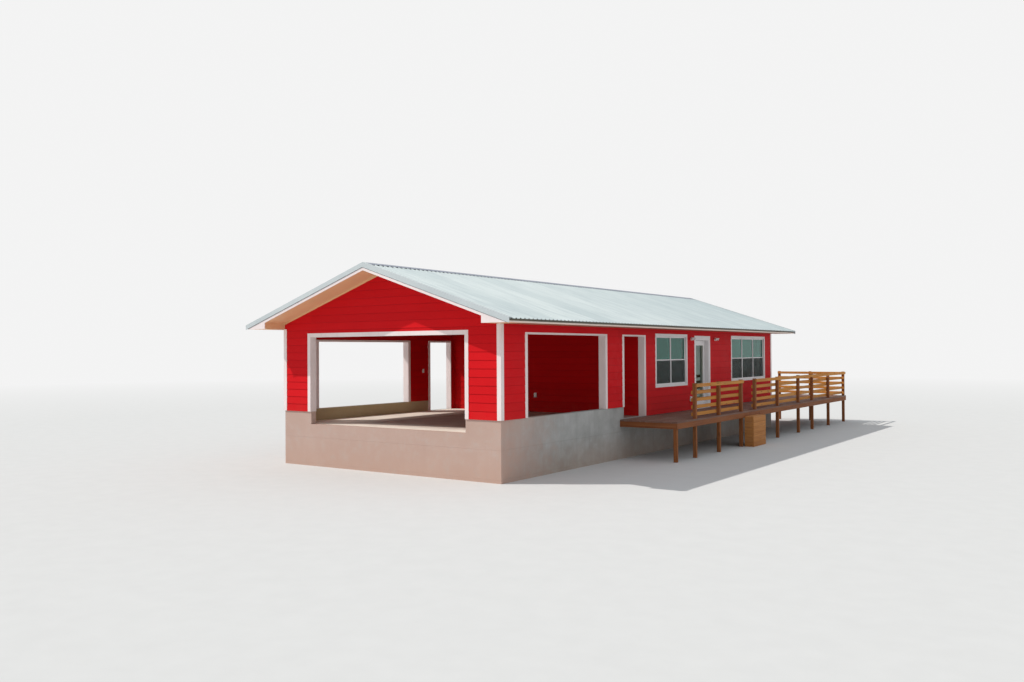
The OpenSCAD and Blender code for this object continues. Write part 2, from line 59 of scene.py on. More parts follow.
def span(node, axis):
    """Lowest and highest place of a node along one axis, in mm from the front face."""
    lo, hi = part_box(node)
    shift = Y_FRONT if axis == 1 else 0
    return round(lo[axis] / MM + shift, 2), round(hi[axis] / MM + shift, 2)


# Walls and roof
HW = span("rear_wall", 0)[1]
IW = span("house_front_wall", 0)[1]
WALL = HW - IW
LEN = span("rear_wall", 1)[1]
FLOOR = span("house_floor", 2)[1]
STEM = span("kerb_sides", 2)[1]
SOFFIT = span("fascias", 2)[0]
XF = span("fascias", 0)[1]
EDGE_X = span("roof_sheet_right", 0)[1]
Y0, Y1 = span("roof_sheet_right", 1)
SLOPE = 1 / 3
PITCH = math.atan(SLOPE)
RUN, FALL = math.cos(PITCH), math.sin(PITCH)
RIDGE_GAP = 5
APEX = span("roof_deck", 2)[1] + RIDGE_GAP * SLOPE
RIBS = 116
RIB_P = (Y1 - Y0) / RIBS
RIB_FOOT, RIB_CREST, RIB_H, SHEET_T = 68, 30, 19, 2
CAP_HALF = span("ridge_cap", 0)[1]

# White boards and openings
TRIM = 16
TRIM_W = 95
LINER = 19
CORNER_W = 90
FRONT_W, FRONT_HEAD = 4710, 1790
WIDE_Y, WIDE_W = 970, 3410
HEAD_R, HEAD_L = 1795, 1700
TOP_R = STEM + HEAD_R + 40
TOP_L = STEM + HEAD_L + 50
PASS_Y0 = span("kerb_sides", 1)[1]
RIGHT_Y1 = span("right_wall_bay", 1)[0] - LINER
LEFT_Y1 = span("left_wall_house", 1)[0] - LINER
HOUSE_Y = span("house_front_wall", 1)[0]

# Windows
WIN_COL = 1042
WIN_Z, WIN_TOP = span("window_frames", 2)
WINDOWS = ((span("window_frames", 1)[0], 2), (span("window_frames", 1)[1] - 3 * WIN_COL, 3))
WIN_TRIM, WIN_FRAME, WIN_BAR, WIN_RAIL, WIN_MULL = 60, 45, 60, 42, 22
SASH_W = (WIN_BAR - WIN_MULL) / 2
SASH_Z0 = WIN_Z + WIN_TRIM + WIN_FRAME
SASH_Z1 = WIN_TOP - WIN_TRIM - WIN_FRAME
SASH_M = (SASH_Z0 + SASH_Z1) / 2
SASH_T, SASH_LAP = 28, 26
FRAME_BACK, FRAME_FRONT = 90, 20
LOW_SASH, UP_SASH = 62, 32
RING, RING_T = 12, 11.8
BEAD, BEAD_T = 5, 6
PANE_IN, PANE_T, PANE_LAP = 11, 6, 4
SCREEN_IN, SCREEN_T, SCREEN_BAR, SCREEN_OVER = 22, 8, 14, 12
LOCK_BACK, LOCK_W, LOCK_D, LOCK_H = 6, 64, 18, 9
LOCK_KNOB = [(10, 0), (10, 14), (7, 20)]

# Deck door
DOOR_Y = span("door_frame", 1)[0] + TRIM_W
DOOR_W = span("door_frame", 1)[1] - TRIM_W - DOOR_Y
DOOR_TOP = span("door_frame", 2)[1] - TRIM_W

# Deck
DECK_TOP = span("deck_boards", 2)[1]
REAR_X0, DECK_X1 = span("deck_boards", 0)
DECK_Y0, DECK_Y1 = span("deck_boards", 1)
TUCK = 10
DECK_X0, REAR_Y0 = HW - TUCK, LEN - TUCK
BOARD, POST, RIM_H, JOIST_P = 38, 89, 140, 610
POST_TOP = span("deck_posts", 2)[1]
POST_X1 = DECK_X1 - BOARD
POST_X0 = POST_X1 - POST
END_Y = DECK_Y1 - BOARD - POST
FROM_FRONT, BEFORE_DOOR = (1194, 2759), 297
BEYOND_DOOR = (807, 2801, 4862, 6366, 8302)
POSTS_A = [DECK_Y0 + d for d in FROM_FRONT] + [DOOR_Y - BEFORE_DOOR]
POSTS_B = [DOOR_Y + d for d in BEYOND_DOOR] + [END_Y]
POSTS_END = [REAR_X0 + BOARD, (REAR_X0 + POST_X0) / 2]
POSTS = [(POST_X0, y) for y in POSTS_A + POSTS_B] + [(x, END_Y) for x in POSTS_END]
RAIL_Z0, RAIL_Z1 = span("railings", 2)
PLANK_H, PLANK_N = 89, 5
PLANK_P = (RAIL_Z1 - RAIL_Z0 - PLANK_H) / (PLANK_N - 1)
STEP_X1 = span("box_step", 0)[1]
STEP_Y0, STEP_Y1 = span("box_step", 1)
STEP_TOP = span("box_step", 2)[1]
SNUG = 0.2


def new_object(name, data):
    made = bpy.data.objects.new(name, data)
    bpy.context.scene.collection.objects.link(made)
    return made


class Tree:
    """A material's nodes, made in short lines."""

    def __init__(self, name):
        self.mat = bpy.data.materials.new(name)
        self.mat.use_nodes = True
        self.nodes = self.mat.node_tree.nodes
        self.links = self.mat.node_tree.links
        self.nodes.clear()
        self.out = self.nodes.new("ShaderNodeOutputMaterial")

    def node(self, kind, inputs=(), **props):
        made = self.nodes.new("ShaderNode" + kind)
        for key, value in props.items():
            setattr(made, key, value)
        for key, value in dict(inputs).items():
            self.put(made.inputs[key], value)
        return made

    def put(self, socket, value):
        if isinstance(value, bpy.types.NodeSocket):
            self.links.new(value, socket)
        elif value is not None:
            opaque = socket.type == "RGBA" and len(value) == 3
            socket.default_value = (*value, 1) if opaque else value

    def position(self):
        return self.node("TexCoord").outputs["Object"]

    def grain(self):
        return self.node("Attribute", attribute_name="grain").outputs["Vector"]

    def value(self, name):
        return self.node("Attribute", attribute_name=name).outputs["Fac"]

    def scaled(self, vector, scale):
        return self.node("Mapping", {"Vector": vector, "Scale": scale}).outputs[0]

    def noise(self, vector, scale, detail=4.0, rough=0.55, warp=0.0):
        """Cloudy noise; three scales draw it out along an axis."""
        if isinstance(scale, tuple):
            vector, scale = self.scaled(vector, scale), 1.0
        inputs = {"Vector": vector, "Scale": scale, "Detail": detail, "Roughness": rough, "Distortion": warp}
        return self.node("TexNoise", inputs).outputs[0]

    def cells(self, vector, scale, output="Distance"):
        return self.node("TexVoronoi", {"Vector": vector, "Scale": scale}).outputs[output]

    def math(self, op, a, b=0.0):
        made = self.node("Math", operation=op)
        self.put(made.inputs[0], a)
        self.put(made.inputs[1], b)
        return made.outputs[0]

    def times(self, a, b):
        return self.math("MULTIPLY", a, b)

    def absolute(self, value):
        return self.math("ABSOLUTE", value)

    def off_line(self, value, place):
        """How far the value's fraction lies from a place between 0 and 1."""
        return self.absolute(self.math("SUBTRACT", self.math("FRACT", value), place))

    def span(self, value, lo, hi, to_lo=0.0, to_hi=1.0):
        inputs = {"Value": value, "From Min": lo, "From Max": hi, "To Min": to_lo, "To Max": to_hi}
        return self.node("MapRange", inputs).outputs[0]

    def mid(self, value, to_lo=0.0, to_hi=1.0):
        """The middle range of a noise, spread out."""
        return self.span(value, 0.3, 0.7, to_lo, to_hi)

    def mix(self, factor, a, b):
        made = self.node("Mix", data_type="RGBA")
        self.put(made.inputs[0], factor)
        self.put(made.inputs[6], a)
        self.put(made.inputs[7], b)
        return made.outputs[2]

    def axis(self, vector, i):
        return self.node("SeparateXYZ", {"Vector": vector}).outputs[i]

    def bump(self, height, distance, strength=1.0, normal=None):
        inputs = {"Height": height, "Distance": distance, "Strength": strength, "Normal": normal}
        return self.node("Bump", inputs).outputs[0]

    def surface(self, color, rough, normal=None, gloss=0.5, **more):
        inputs = {"Base Color": color, "Roughness": rough, "Specular IOR Level": gloss, "Normal": normal}
        inputs.update({key.replace("_", " "): value for key, value in more.items()})
        shader = self.node("BsdfPrincipled", inputs)
        self.links.new(shader.outputs[0], self.out.inputs[0])
        return self.mat


def shade(color, k):
    return tuple(min(1.0, c * k) for c in color)


def siding_paint(name, base, gloss):
    """Red paint on embossed lap boards, each with its own tone and darker where it meets the next lap:
    painted shade under the lap, with some dirt.
    """
    t = Tree(name)
    fibre = t.noise(t.grain(), (3, 60, 60), 5)
    cloud = t.noise(t.position(), 0.9, 3)
    dust = t.noise(t.position(), 5.0, 6, 0.65)
    color = t.mix(t.value("tone"), shade(base, 0.94), shade(base, 1.06))
    color = t.mix(t.mid(cloud, 0.0, 0.45), color, shade(base, 0.86))
    color = t.mix(t.span(fibre, 0.45, 0.8, 0.0, 0.20), color, shade(base, 0.72))
    low = t.span(t.axis(t.position(), 2), 1.0, 1.7, 0.16, 0.0)
    color = t.mix(t.times(low, t.span(dust, 0.35, 0.7)), color, (0.50, 0.12, 0.08))
    # Painted shade, with some dirt, along the top and bottom edges of each lap.
    color = t.mix(t.times(t.value("darkening"), 0.26), color, (0.16, 0.002, 0.005))
    normal = t.bump(fibre, 0.0011, 0.5)
    return t.surface(color, t.span(dust, 0.3, 0.75, 0.50, 0.66), normal, gloss=gloss, Sheen_Weight=gloss,
                     Sheen_Tint=(0.50, 0.60, 1.0, 1), Sheen_Roughness=0.35)


def indoors(t, p, ya, yb):
    """One between the side walls and two places along the building, elsewhere zero."""
    y = t.axis(p, 1)
    inside = t.math("LESS_THAN", t.absolute(t.axis(p, 0)), (IW + 2) * MM)
    inside = t.times(inside, t.math("GREATER_THAN", y, (ya - 2 - Y_FRONT) * MM))
    return t.times(inside, t.math("LESS_THAN", y, (yb + 2 - Y_FRONT) * MM))


def wall_core():
    """The walls behind the siding: red in the open part, plain plaster inside the house part."""
    t = Tree("wall_faces")
    p = t.position()
    inside = indoors(t, p, HOUSE_Y + WALL, LEN - WALL)
    mottle = t.noise(p, 6.0, 5)
    fine = t.noise(p, 180.0, 3)
    red = t.mix(mottle, (0.50, 0.011, 0.015), (0.62, 0.015, 0.021))
    plaster = t.mix(mottle, (0.40, 0.41, 0.38), (0.48, 0.48, 0.44))
    color = t.mix(inside, red, plaster)
    rough = t.mid(fine, 0.6, 0.75)
    return t.surface(color, rough, t.bump(fine, 0.0006, 0.5), gloss=0.2)


def board_paint(name, base, dirt, dirt_top, spread=0.05, rough=(0.42, 0.58)):
    """Paint on sawn boards, with the brush's fine lines, rain streaks and some soil low down."""
    t = Tree(name)
    p = t.position()
    cloud = t.noise(p, 1.3, 4)
    fine = t.noise(p, (55, 55, 9), 5)
    color = t.mix(t.mid(cloud), shade(base, 1 - spread), shade(base, 1 + spread))
    streak = t.noise(p, (14, 14, 1.2), 4, 0.6)
    color = t.mix(t.span(streak, 0.52, 0.80, 0.0, 0.20), color, dirt)
    low = t.span(t.axis(p, 2), dirt_top, dirt_top + 0.5, 0.45, 0.0)
    color = t.mix(t.times(low, t.span(cloud, 0.35, 0.65)), color, dirt)
    normal = t.bump(fine, 0.0008, 0.35)
    return t.surface(color, t.mid(fine, *rough), normal, gloss=0.3)


def soffit_paint(base, eave_shade):
    """Tan paint on the gable soffits; a darker brown on the soffits along the eaves, as painted shade."""
    t = Tree("tan_soffit_paint")
    p = t.position()
    cloud = t.noise(p, 1.3, 4)
    fine = t.noise(p, (55, 55, 9), 5)
    beside = t.math("GREATER_THAN", t.absolute(t.axis(p, 0)), (HW + 1) * MM)
    behind = t.math("GREATER_THAN", t.axis(p, 1), -Y_FRONT * MM)
    # Painted shade: the soffits along the eaves darker and browner.
    color = t.mix(t.times(beside, behind), base, eave_shade)
    color = t.mix(t.mid(cloud, 0.0, 0.3), color, shade(base, 0.7))
    rough = t.mid(fine, 0.42, 0.58)
    return t.surface(color, rough, t.bump(fine, 0.0008, 0.35), gloss=0.3)


SHEET_RIBS = 6.0


def roof_metal():
    """Bare zinc-aluminium sheets of six ribs, each weathered in its own way, with dust along the ribs."""
    t = Tree("roof_metal")
    p = t.position()
    y = t.math("SUBTRACT", t.axis(p, 1), (Y0 - Y_FRONT) * MM)
    rib = t.math("DIVIDE", y, RIB_P * MM)
    flat = t.span(t.off_line(rib, 0.5), 0.16, 0.26)
    sheet = t.math("DIVIDE", rib, SHEET_RIBS)
    rank = t.node("TexWhiteNoise", {"W": t.math("FLOOR", sheet)}, noise_dimensions="1D").outputs[0]
    lap = t.span(t.off_line(sheet, 0.5 / SHEET_RIBS), 0.0, 0.012, 1.0, 0.0)
    spangle = t.axis(t.cells(p, 210.0, "Color"), 0)
    runs = t.noise(p, (1.1, 17, 1.1), 5, 0.6)
    cloud = t.noise(p, 0.45, 4)
    color = t.mix(rank, (0.53, 0.60, 0.61), (0.65, 0.71, 0.71))
    color = t.mix(t.span(runs, 0.42, 0.68, 0.0, 0.75), color, (0.47, 0.54, 0.56))
    color = t.mix(t.span(cloud, 0.35, 0.7, 0.0, 0.55), color, (0.68, 0.735, 0.73))
    # Darker towards the rear, broken up by the runs: painted shade for the sheets seen at a grazing angle.
    rear = t.span(y, 5.0, 15.0, 0.0, 0.62)
    color = t.mix(t.times(rear, t.span(runs, 0.3, 0.6, 0.5, 1.0)), color, (0.44, 0.52, 0.54))
    color = t.mix(t.times(flat, 0.42), color, (0.36, 0.42, 0.44))
    color = t.mix(t.times(lap, 0.60), color, (0.26, 0.30, 0.32))
    color = t.mix(t.span(spangle, 0, 1, 0.0, 0.08), color, (0.50, 0.54, 0.55))
    rough = t.math("ADD", t.span(spangle, 0, 1, 0.56, 0.66), t.span(runs, 0.3, 0.8, 0.0, 0.12))
    wave = t.noise(p, (1.5, 5, 1.5), 2)
    return t.surface(color, rough, t.bump(wave, 0.004, 0.3), Metallic=0.15, gloss=0.25)


def folded_metal(name, light, dark):
    t = Tree(name)
    p = t.position()
    fine = t.noise(p, 30.0, 4)
    cloud = t.noise(p, 0.8, 4)
    color = t.mix(t.mid(cloud), dark, light)
    color = t.mix(t.span(fine, 0.5, 0.8, 0.0, 0.3), color, shade(dark, 0.85))
    return t.surface(color, t.mid(fine, 0.40, 0.55), t.bump(cloud, 0.003, 0.3), Metallic=0.35)


FORM_H = 0.61


def concrete(name, base, dark, walls):
    """Poured concrete, cloudy and pitted: walls with form seams, rain stains and soil, or a slab, dark as
    painted shade, with painted sunlight towards its left and front.
    """
    t = Tree(name)
    p = t.position()
    cloud = t.noise(p, 1.1, 6, 0.62)
    blot = t.noise(p, 4.5, 7, 0.7)
    sand = t.noise(p, 320.0, 2)
    pit = t.span(t.cells(p, 24.0), 0.05, 0.16, 1.0, 0.0)
    color = t.mix(t.span(cloud, 0.32, 0.68), dark, base)
    color = t.mix(t.span(blot, 0.48, 0.72, 0.0, 0.5), color, shade(base, 1.13))
    color = t.mix(t.span(sand, 0.4, 0.7, 0.0, 0.25), color, shade(dark, 0.8))
    color = t.mix(t.times(pit, 0.6), color, shade(dark, 0.62))
    normal = t.bump(sand, 0.0012, 0.5)
    normal = t.bump(pit, -0.004, 0.6, normal)
    normal = t.bump(blot, 0.004, 0.3, normal)
    if walls:
        z = t.axis(p, 2)
        seam = t.span(t.off_line(t.math("DIVIDE", z, FORM_H), 0.13), 0.0, 0.012, 1.0, 0.0)
        color = t.mix(t.times(seam, 0.35), color, shade(dark, 0.7))
        normal = t.bump(seam, 0.004, 0.7, normal)
        rain = t.noise(p, (7, 7, 0.7), 5, 0.6)
        color = t.mix(t.span(rain, 0.5, 0.78, 0.0, 0.34), color, shade(dark, 0.8))
        darkening = t.math("ADD", z, t.mid(blot, -0.12, 0.12))
        color = t.mix(t.span(darkening, 0.0, 0.7, 0.50, 0.0), color, (0.42, 0.27, 0.18))
        # Pinker towards the front: red dust, and painted warmth of the sun on the sunlit front.
        front_dust_and_sun = t.math("ADD", t.axis(p, 1), t.mid(blot, -0.5, 0.5))
        color = t.mix(t.span(front_dust_and_sun, 0.0, 2.2, 0.75, 0.0), color, (0.56, 0.36, 0.29))
        # Olive-brown on the kerb inside the carport: painted bounce light from the grass.
        color = t.mix(t.times(indoors(t, p, WALL, HOUSE_Y), 0.75), color, (0.52, 0.39, 0.19))
    else:
        # Painted sunlight: pale towards the left and the front of the slab, where the sun falls through the
        # openings.
        left = t.span(t.axis(p, 0), -2.1, -1.3, 1.0, 0.0)
        front = t.span(t.axis(p, 1), 0.4, 1.3, 1.0, 0.0)
        dust = t.times(t.math("MAXIMUM", left, front), t.mid(cloud, 0.8, 1.0))
        color = t.mix(dust, color, t.mix(t.span(blot, 0.4, 0.7), (0.88, 0.78, 0.68), (0.93, 0.86, 0.77)))
    return t.surface(color, t.mid(blot, 0.80, 0.92), normal, gloss=0.2)


def timber(name, light, dark, knot, wear, rough=0.66):
    """Sawn softwood: rings drawn out along each board, knots, and a tone of its own for each board."""
    t = Tree(name)
    g = t.grain()
    bend = t.noise(g, (0.9, 5, 5), 3)
    rings = t.noise(g, (1.1, 42, 42), 4, 0.6, 0.35)
    fibre = t.noise(g, (16, 420, 420), 3, 0.6)
    eye = t.span(t.cells(t.scaled(g, (1.7, 7.5, 7.5)), 1.0), 0.07, 0.16, 1.0, 0.0)
    color = t.mix(t.span(rings, 0.36, 0.66), light, dark)
    color = t.mix(t.span(bend, 0.35, 0.7, 0.0, 0.4), color, shade(light, 1.10))
    color = t.mix(t.span(fibre, 0.45, 0.75, 0.0, 0.30), color, shade(dark, 0.75))
    color = t.mix(t.times(eye, 0.75), color, knot)
    color = t.mix(t.times(t.value("tone"), 0.40), color, shade(dark, 0.9))
    grey = t.noise(g, (0.8, 3, 3), 5, 0.6)
    color = t.mix(t.span(grey, 0.5, 0.8, 0.0, wear), color, (0.34, 0.30, 0.27))
    normal = t.bump(fibre, 0.0009, 0.6)
    normal = t.bump(rings, 0.0013, 0.45, normal)
    rough = t.mid(fibre, rough - 0.08, rough + 0.12)
    return t.surface(color, rough, normal, gloss=0.16)


def strand_board():
    """The underside of the roof deck: pressed strand board."""
    t = Tree("strand_board")
    p = t.position()
    flake = t.axis(t.cells(t.scaled(p, (16, 34, 16)), 1.0, "Color"), 0)
    fine = t.noise(p, 150.0, 3)
    color = t.mix(flake, (0.44, 0.29, 0.15), (0.62, 0.45, 0.26))
    color = t.mix(t.span(fine, 0.4, 0.7, 0.0, 0.3), color, (0.36, 0.23, 0.12))
    return t.surface(color, t.mid(fine, 0.68, 0.82), t.bump(flake, 0.0012, 0.5))


def clear_glass(name, tint):
    t = Tree(name)
    film = t.noise(t.position(), 3.0, 5)
    wave = t.noise(t.position(), 1.7, 2)
    # The green specular tint, and the strong green tint of the window glass, are painted reflection of
    # greenery.
    return t.surface(tint, t.span(film, 0.3, 0.8, 0.0, 0.03), t.bump(wave, 0.0015, 0.12),
                     Transmission_Weight=1.0, IOR=1.33, Specular_Tint=(0.25, 0.95, 0.78, 1))


def insect_screen():
    t = Tree("insect_screen")
    wires = t.node("TexWave", {"Vector": t.position(), "Scale": 240.0}, bands_direction="Z").outputs[1]
    color = t.mix(t.span(wires, 0.2, 0.8), (0.014, 0.022, 0.022), (0.045, 0.060, 0.058))
    return t.surface(color, t.span(wires, 0.2, 0.8, 0.55, 0.7), Alpha=0.55)


def plastic(name, base, rough, bump=0.0004):
    t = Tree(name)
    p = t.position()
    fine = t.noise(p, 900.0, 2)
    cloud = t.noise(p, 14.0, 4)
    color = t.mix(t.mid(cloud), shade(base, 0.95), shade(base, 1.03))
    return t.surface(color, t.mid(fine, rough - 0.06, rough + 0.08), t.bump(fine, bump, 0.3))


def fitting_metal(name, base, rough):
    t = Tree(name)
    p = t.position()
    brushed = t.noise(p, (60, 60, 900), 4)
    smear = t.noise(p, 40.0, 4)
    color = t.mix(t.mid(smear), shade(base, 0.85), shade(base, 1.08))
    return t.surface(color, t.mid(brushed, rough - 0.08, rough + 0.1),
                     t.bump(brushed, 0.0002, 0.4), Metallic=1.0)


M = {
    "siding": siding_paint("red_siding_paint", (0.668, 0.0085, 0.0130), 0.06),
    # A darker copy of the red siding paint: painted shade for the carport's inside.
    "inner": siding_paint("red_carport_paint_darkened_for_shade", (0.56, 0.0045, 0.0065), 0.04),
    "core": wall_core(),
    # The pink in this white is painted red bounce light from the siding.
    "white": board_paint("white_board_paint_red_bounce_tint", (0.87, 0.765, 0.755), (0.52, 0.40, 0.34), 0.95),
    "frame": board_paint("white_window_paint", (0.85, 0.83, 0.835), (0.55, 0.47, 0.42), 0.6,
                         0.03, (0.30, 0.42)),
    "tan": soffit_paint((0.84, 0.52, 0.285), (0.44, 0.17, 0.11)),
    "fascia": board_paint("cream_fascia_paint", (0.90, 0.74, 0.65), (0.60, 0.42, 0.31), 0.4, 0.05),
    "roof": roof_metal(),
    "rake": folded_metal("rake_metal", (0.60, 0.65, 0.66), (0.50, 0.55, 0.57)),
    # Darker and bluer than the roof sheets: painted shade on the ridge cap.
    "ridge": folded_metal("ridge_metal_painted_shade", (0.30, 0.33, 0.40), (0.21, 0.24, 0.31)),
    # Dark brown drip edge: painted shade under the sheets' edge.
    "drip": folded_metal("drip_edge_metal_painted_shade", (0.155, 0.140, 0.100), (0.090, 0.080, 0.055)),
    # Near-black foam, also painted shade: at the ridge, in the eave rib hollows and under the rake hems.
    "foam": plastic("closure_foam_and_painted_shade", (0.024, 0.026, 0.030), 0.85, 0.002),
    "stem": concrete("stem_wall_concrete", (0.49, 0.49, 0.475), (0.345, 0.340, 0.325), True),
    # Dark as painted shade; the pale sunlit parts are painted in concrete().
    "slab": concrete("slab_concrete_painted_sun_and_shade", (0.37, 0.235, 0.200), (0.27, 0.165, 0.140), False),
    "plank": timber("railing_timber", (0.66, 0.300, 0.066), (0.43, 0.160, 0.030), (0.15, 0.05, 0.02), 0.15),
    "post": timber("post_timber", (0.36, 0.135, 0.045), (0.20, 0.062, 0.020), (0.08, 0.028, 0.012), 0.12),
    "rim": timber("rim_timber", (0.60, 0.270, 0.085), (0.38, 0.145, 0.042), (0.13, 0.045, 0.02), 0.2),
    # A darker copy of the rim timber: painted shade on the deck's frame.
    "joist": timber("joist_timber_painted_shade", (0.34, 0.125, 0.045), (0.19, 0.062, 0.022), (0.08, 0.026, 0.012), 0.12),
    "deck": timber("deck_board_timber", (0.26, 0.150, 0.115), (0.155, 0.083, 0.062), (0.07, 0.038, 0.028),
                   0.6, 0.7),
    "strand": strand_board(),
    # Strong green tint: painted reflection of greenery.
    "glass": clear_glass("window_glass_painted_green_reflection", (0.16, 0.70, 0.56)),
    "lite": clear_glass("door_glass_pane", (0.86, 0.92, 0.78)),
    "screen": insect_screen(),
    "door": board_paint("white_door_paint", (0.85, 0.83, 0.83), (0.56, 0.47, 0.41), 0.6, 0.03, (0.32, 0.46)),
    "plastic": plastic("white_plastic", (0.86, 0.85, 0.83), 0.42),
    "lens": plastic("lamp_lens", (0.60, 0.62, 0.64), 0.16, 0.002),
    "zinc": fitting_metal("zinc_screw_metal", (0.55, 0.57, 0.58), 0.42),
    "steel": fitting_metal("door_fitting_metal", (0.42, 0.42, 0.43), 0.34),
}


class Build:
    """Closed pieces gathered into one mesh, each with its own grain coordinates and tone."""

    def __init__(self, name, seed):
        self.name = name
        self.rng = random.Random(seed)
        self.verts, self.faces, self.smooth = [], [], []
        self.grain, self.tones, self.darkening = [], [], []
        self.known = {}

    def own(self, key):
        """A piece's grain offset and tone; pieces with the same key share theirs."""
        if key is None or key not in self.known:
            self.known[key] = ([self.rng.uniform(-40, 40) for _ in range(3)], self.rng.random())
        return self.known[key]

    def loft(self, rings, axis, key=None, smooth=False, darkening=None):
        """Closed piece through rings of as many points each, its grain along the axis."""
        offset, tone = self.own(key)
        base, n = len(self.verts), len(rings[0])
        last = base + (len(rings) - 1) * n
        faces = [tuple(range(base + n - 1, base - 1, -1)), tuple(range(last, last + n))]
        for k in range(base, last, n):
            for i in range(n):
                j = (i + 1) % n
                faces.append((k + i, k + j, k + n + j, k + n + i))
        a, b = [i for i in range(3) if i != axis]
        for p in [p for ring in rings for p in ring]:
            self.verts.append(to_row(p))
            self.grain += [p[axis] * MM + offset[0], p[a] * MM + offset[1], p[b] * MM + offset[2]]
            self.tones.append(tone)
        self.darkening += darkening or [0.0] * (last + n - base)
        self.faces += faces
        self.smooth += [smooth] * len(faces)

    def box(self, lo, hi, axis, key=None):
        (xa, ya, za), (xb, yb, zb) = lo, hi
        floor = [(xa, ya), (xb, ya), (xb, yb), (xa, yb)]
        self.loft([[(x, y, z) for x, y in floor] for z in (za, zb)], axis, key)

    def board(self, lo, hi, axis, ease):
        """A board with eased edges."""
        a, b = [i for i in range(3) if i != axis]
        half = ease / 2
        rings = []
        for end, cut in ((lo[axis], half), (lo[axis] + half, 0), (hi[axis] - half, 0), (hi[axis], half)):
            la, ha, lb, hb = lo[a] + cut, hi[a] - cut, lo[b] + cut, hi[b] - cut
            outline = [(la + ease, lb), (ha - ease, lb), (ha, lb + ease), (ha, hb - ease),
                       (ha - ease, hb), (la + ease, hb), (la, hb - ease), (la, lb + ease)]
            rings.append([((end, u, v), (u, end, v), (u, v, end))[axis] for u, v in outline])
        self.loft(rings, axis)

    def turned(self, at, aim, profile, n):
        """Radii and distances along the aim, turned round it; a piece of few sides keeps its facets."""
        aim = Vector(aim).normalized()
        side = aim.orthogonal().normalized()
        up = aim.cross(side)
        turns = [2 * math.pi * i / n for i in range(n)]
        rings = []
        for r, h in profile:
            middle = Vector(at) + aim * h
            rings.append([tuple(middle + (side * math.cos(w) + up * math.sin(w)) * r) for w in turns])
        self.loft(rings, 2, None, n > 12)

    def make(self, material, slot=None, *stands_for, body="barn"):
        mesh = bpy.data.meshes.new(self.name)
        mesh.from_pydata(self.verts, [], self.faces)
        mesh.polygons.foreach_set("use_smooth", self.smooth)
        work = bmesh.new()
        work.from_mesh(mesh)
        bmesh.ops.recalc_face_normals(work, faces=work.faces)
        work.to_mesh(mesh)
        work.free()
        for name, kind, key, values in (("grain", "FLOAT_VECTOR", "vector", self.grain),
                                        ("tone", "FLOAT", "value", self.tones),
                                        ("darkening", "FLOAT", "value", self.darkening)):
            mesh.attributes.new(name, kind, "POINT").data.foreach_set(key, values)
        mesh.materials.append(M[material])
        obj = new_object(self.name, mesh)
        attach(obj, body)
        if stands_for:
            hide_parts(*stands_for)


LAP = 178
BUTT, THIN, ARRIS = 14.0, 4.0, 1.5
BOARD_LEN, BOARD_MIN, BUTT_GAP = 3660, 60, 0.9
# Height of the strip of painted shade, with some dirt, under each lap.
LAP_SHADE_H = 20
SLIVER = 3


def free_spans(lo, hi, z, holes):
    """The stretches between lo and hi that no hole covers at the height z."""
    spans = [(lo, hi)]
    for ua, ub, za, zb in holes:
        if za < z < zb:
            spans = [s for a, b in spans for s in ((a, min(b, ua)), (max(a, ub), b)) if s[1] - s[0] > 4]
    return spans


def lap_board(b, place, ua, ub, z0, z1, nominal, rake, axis, key):
    """One length of one lap, cut to the slope of the rake where that crosses it."""
    if rake is not None and ua * ub > 0:
        z1 = min(z1, rake - min(abs(ua), abs(ub)) * SLOPE)
    if z1 - z0 < SLIVER:
        return
    heights = [z0, z1 - LAP_SHADE_H, z1] if z1 - z0 > LAP_SHADE_H + SLIVER else [z0, z1]
    out = [BUTT + (THIN - BUTT) * (z - nominal) / LAP for z in heights]
    section = [(0, z0)] + list(zip(out, heights)) + [(0, z1)]
    # Points marked 1 get painted shade, with some dirt: the top under the next lap and the butt's underside.
    lap_dirt_and_shade = [1.0] + [0.0] * len(heights) + [1.0]
    if z1 >= nominal + LAP - 1:
        lap_dirt_and_shade[-2] = 1.0
    if z0 == nominal:
        section[1:2] = [(BUTT - ARRIS, z0), (BUTT, z0 + ARRIS)]
        lap_dirt_and_shade.insert(1, 1.0)

    def ends(z):
        reach = math.inf if rake is None else (rake - z) / SLOPE
        a, e = max(ua, -reach), min(ub, reach)
        return (a, e) if e - a > 2 else ((a + e) / 2 - 1, (a + e) / 2 + 1)

    rings = [[place(ends(z)[i], o, z) for o, z in section] for i in (0, 1)]
    b.loft(rings, axis, key, darkening=lap_dirt_and_shade * 2)


def lap_siding(b, place, lo, hi, bottom, top, holes=(), rake=None, axis=1):
    """Lap boards on one wall face. place(u, out, z) gives the point; rake is the slope's height at u = 0."""
    for k in range(math.floor((bottom - STEM) / LAP), math.ceil((top - STEM) / LAP)):
        nominal = STEM + k * LAP
        za, zb = max(bottom, nominal), min(top, nominal + LAP)
        cuts = {za, zb} | {z for h in holes for z in h[2:] if za < z < zb}
        if rake is not None:
            cuts |= {z for z in (rake - abs(lo) * SLOPE, rake - abs(hi) * SLOPE) if za < z < zb}
        cuts = sorted(cuts)
        joints = [lo + b.rng.uniform(0.25, 1.0) * BOARD_LEN]
        while joints[-1] + BOARD_LEN < hi:
            joints.append(joints[-1] + BOARD_LEN)
        for z0, z1 in zip(cuts, cuts[1:]):
            for a, e in free_spans(lo, hi, (z0 + z1) / 2, holes):
                marks = [a] + [j for j in joints if a + BOARD_MIN < j < e - BOARD_MIN] + [e]
                for i, (ua, ub) in enumerate(zip(marks, marks[1:])):
                    key = (k, sum(j < (ua + ub) / 2 for j in joints))
                    ua += BUTT_GAP if i else 0
                    ub -= BUTT_GAP if i < len(marks) - 2 else 0
                    lap_board(b, place, ua, ub, z0, z1, nominal, rake, axis, key)


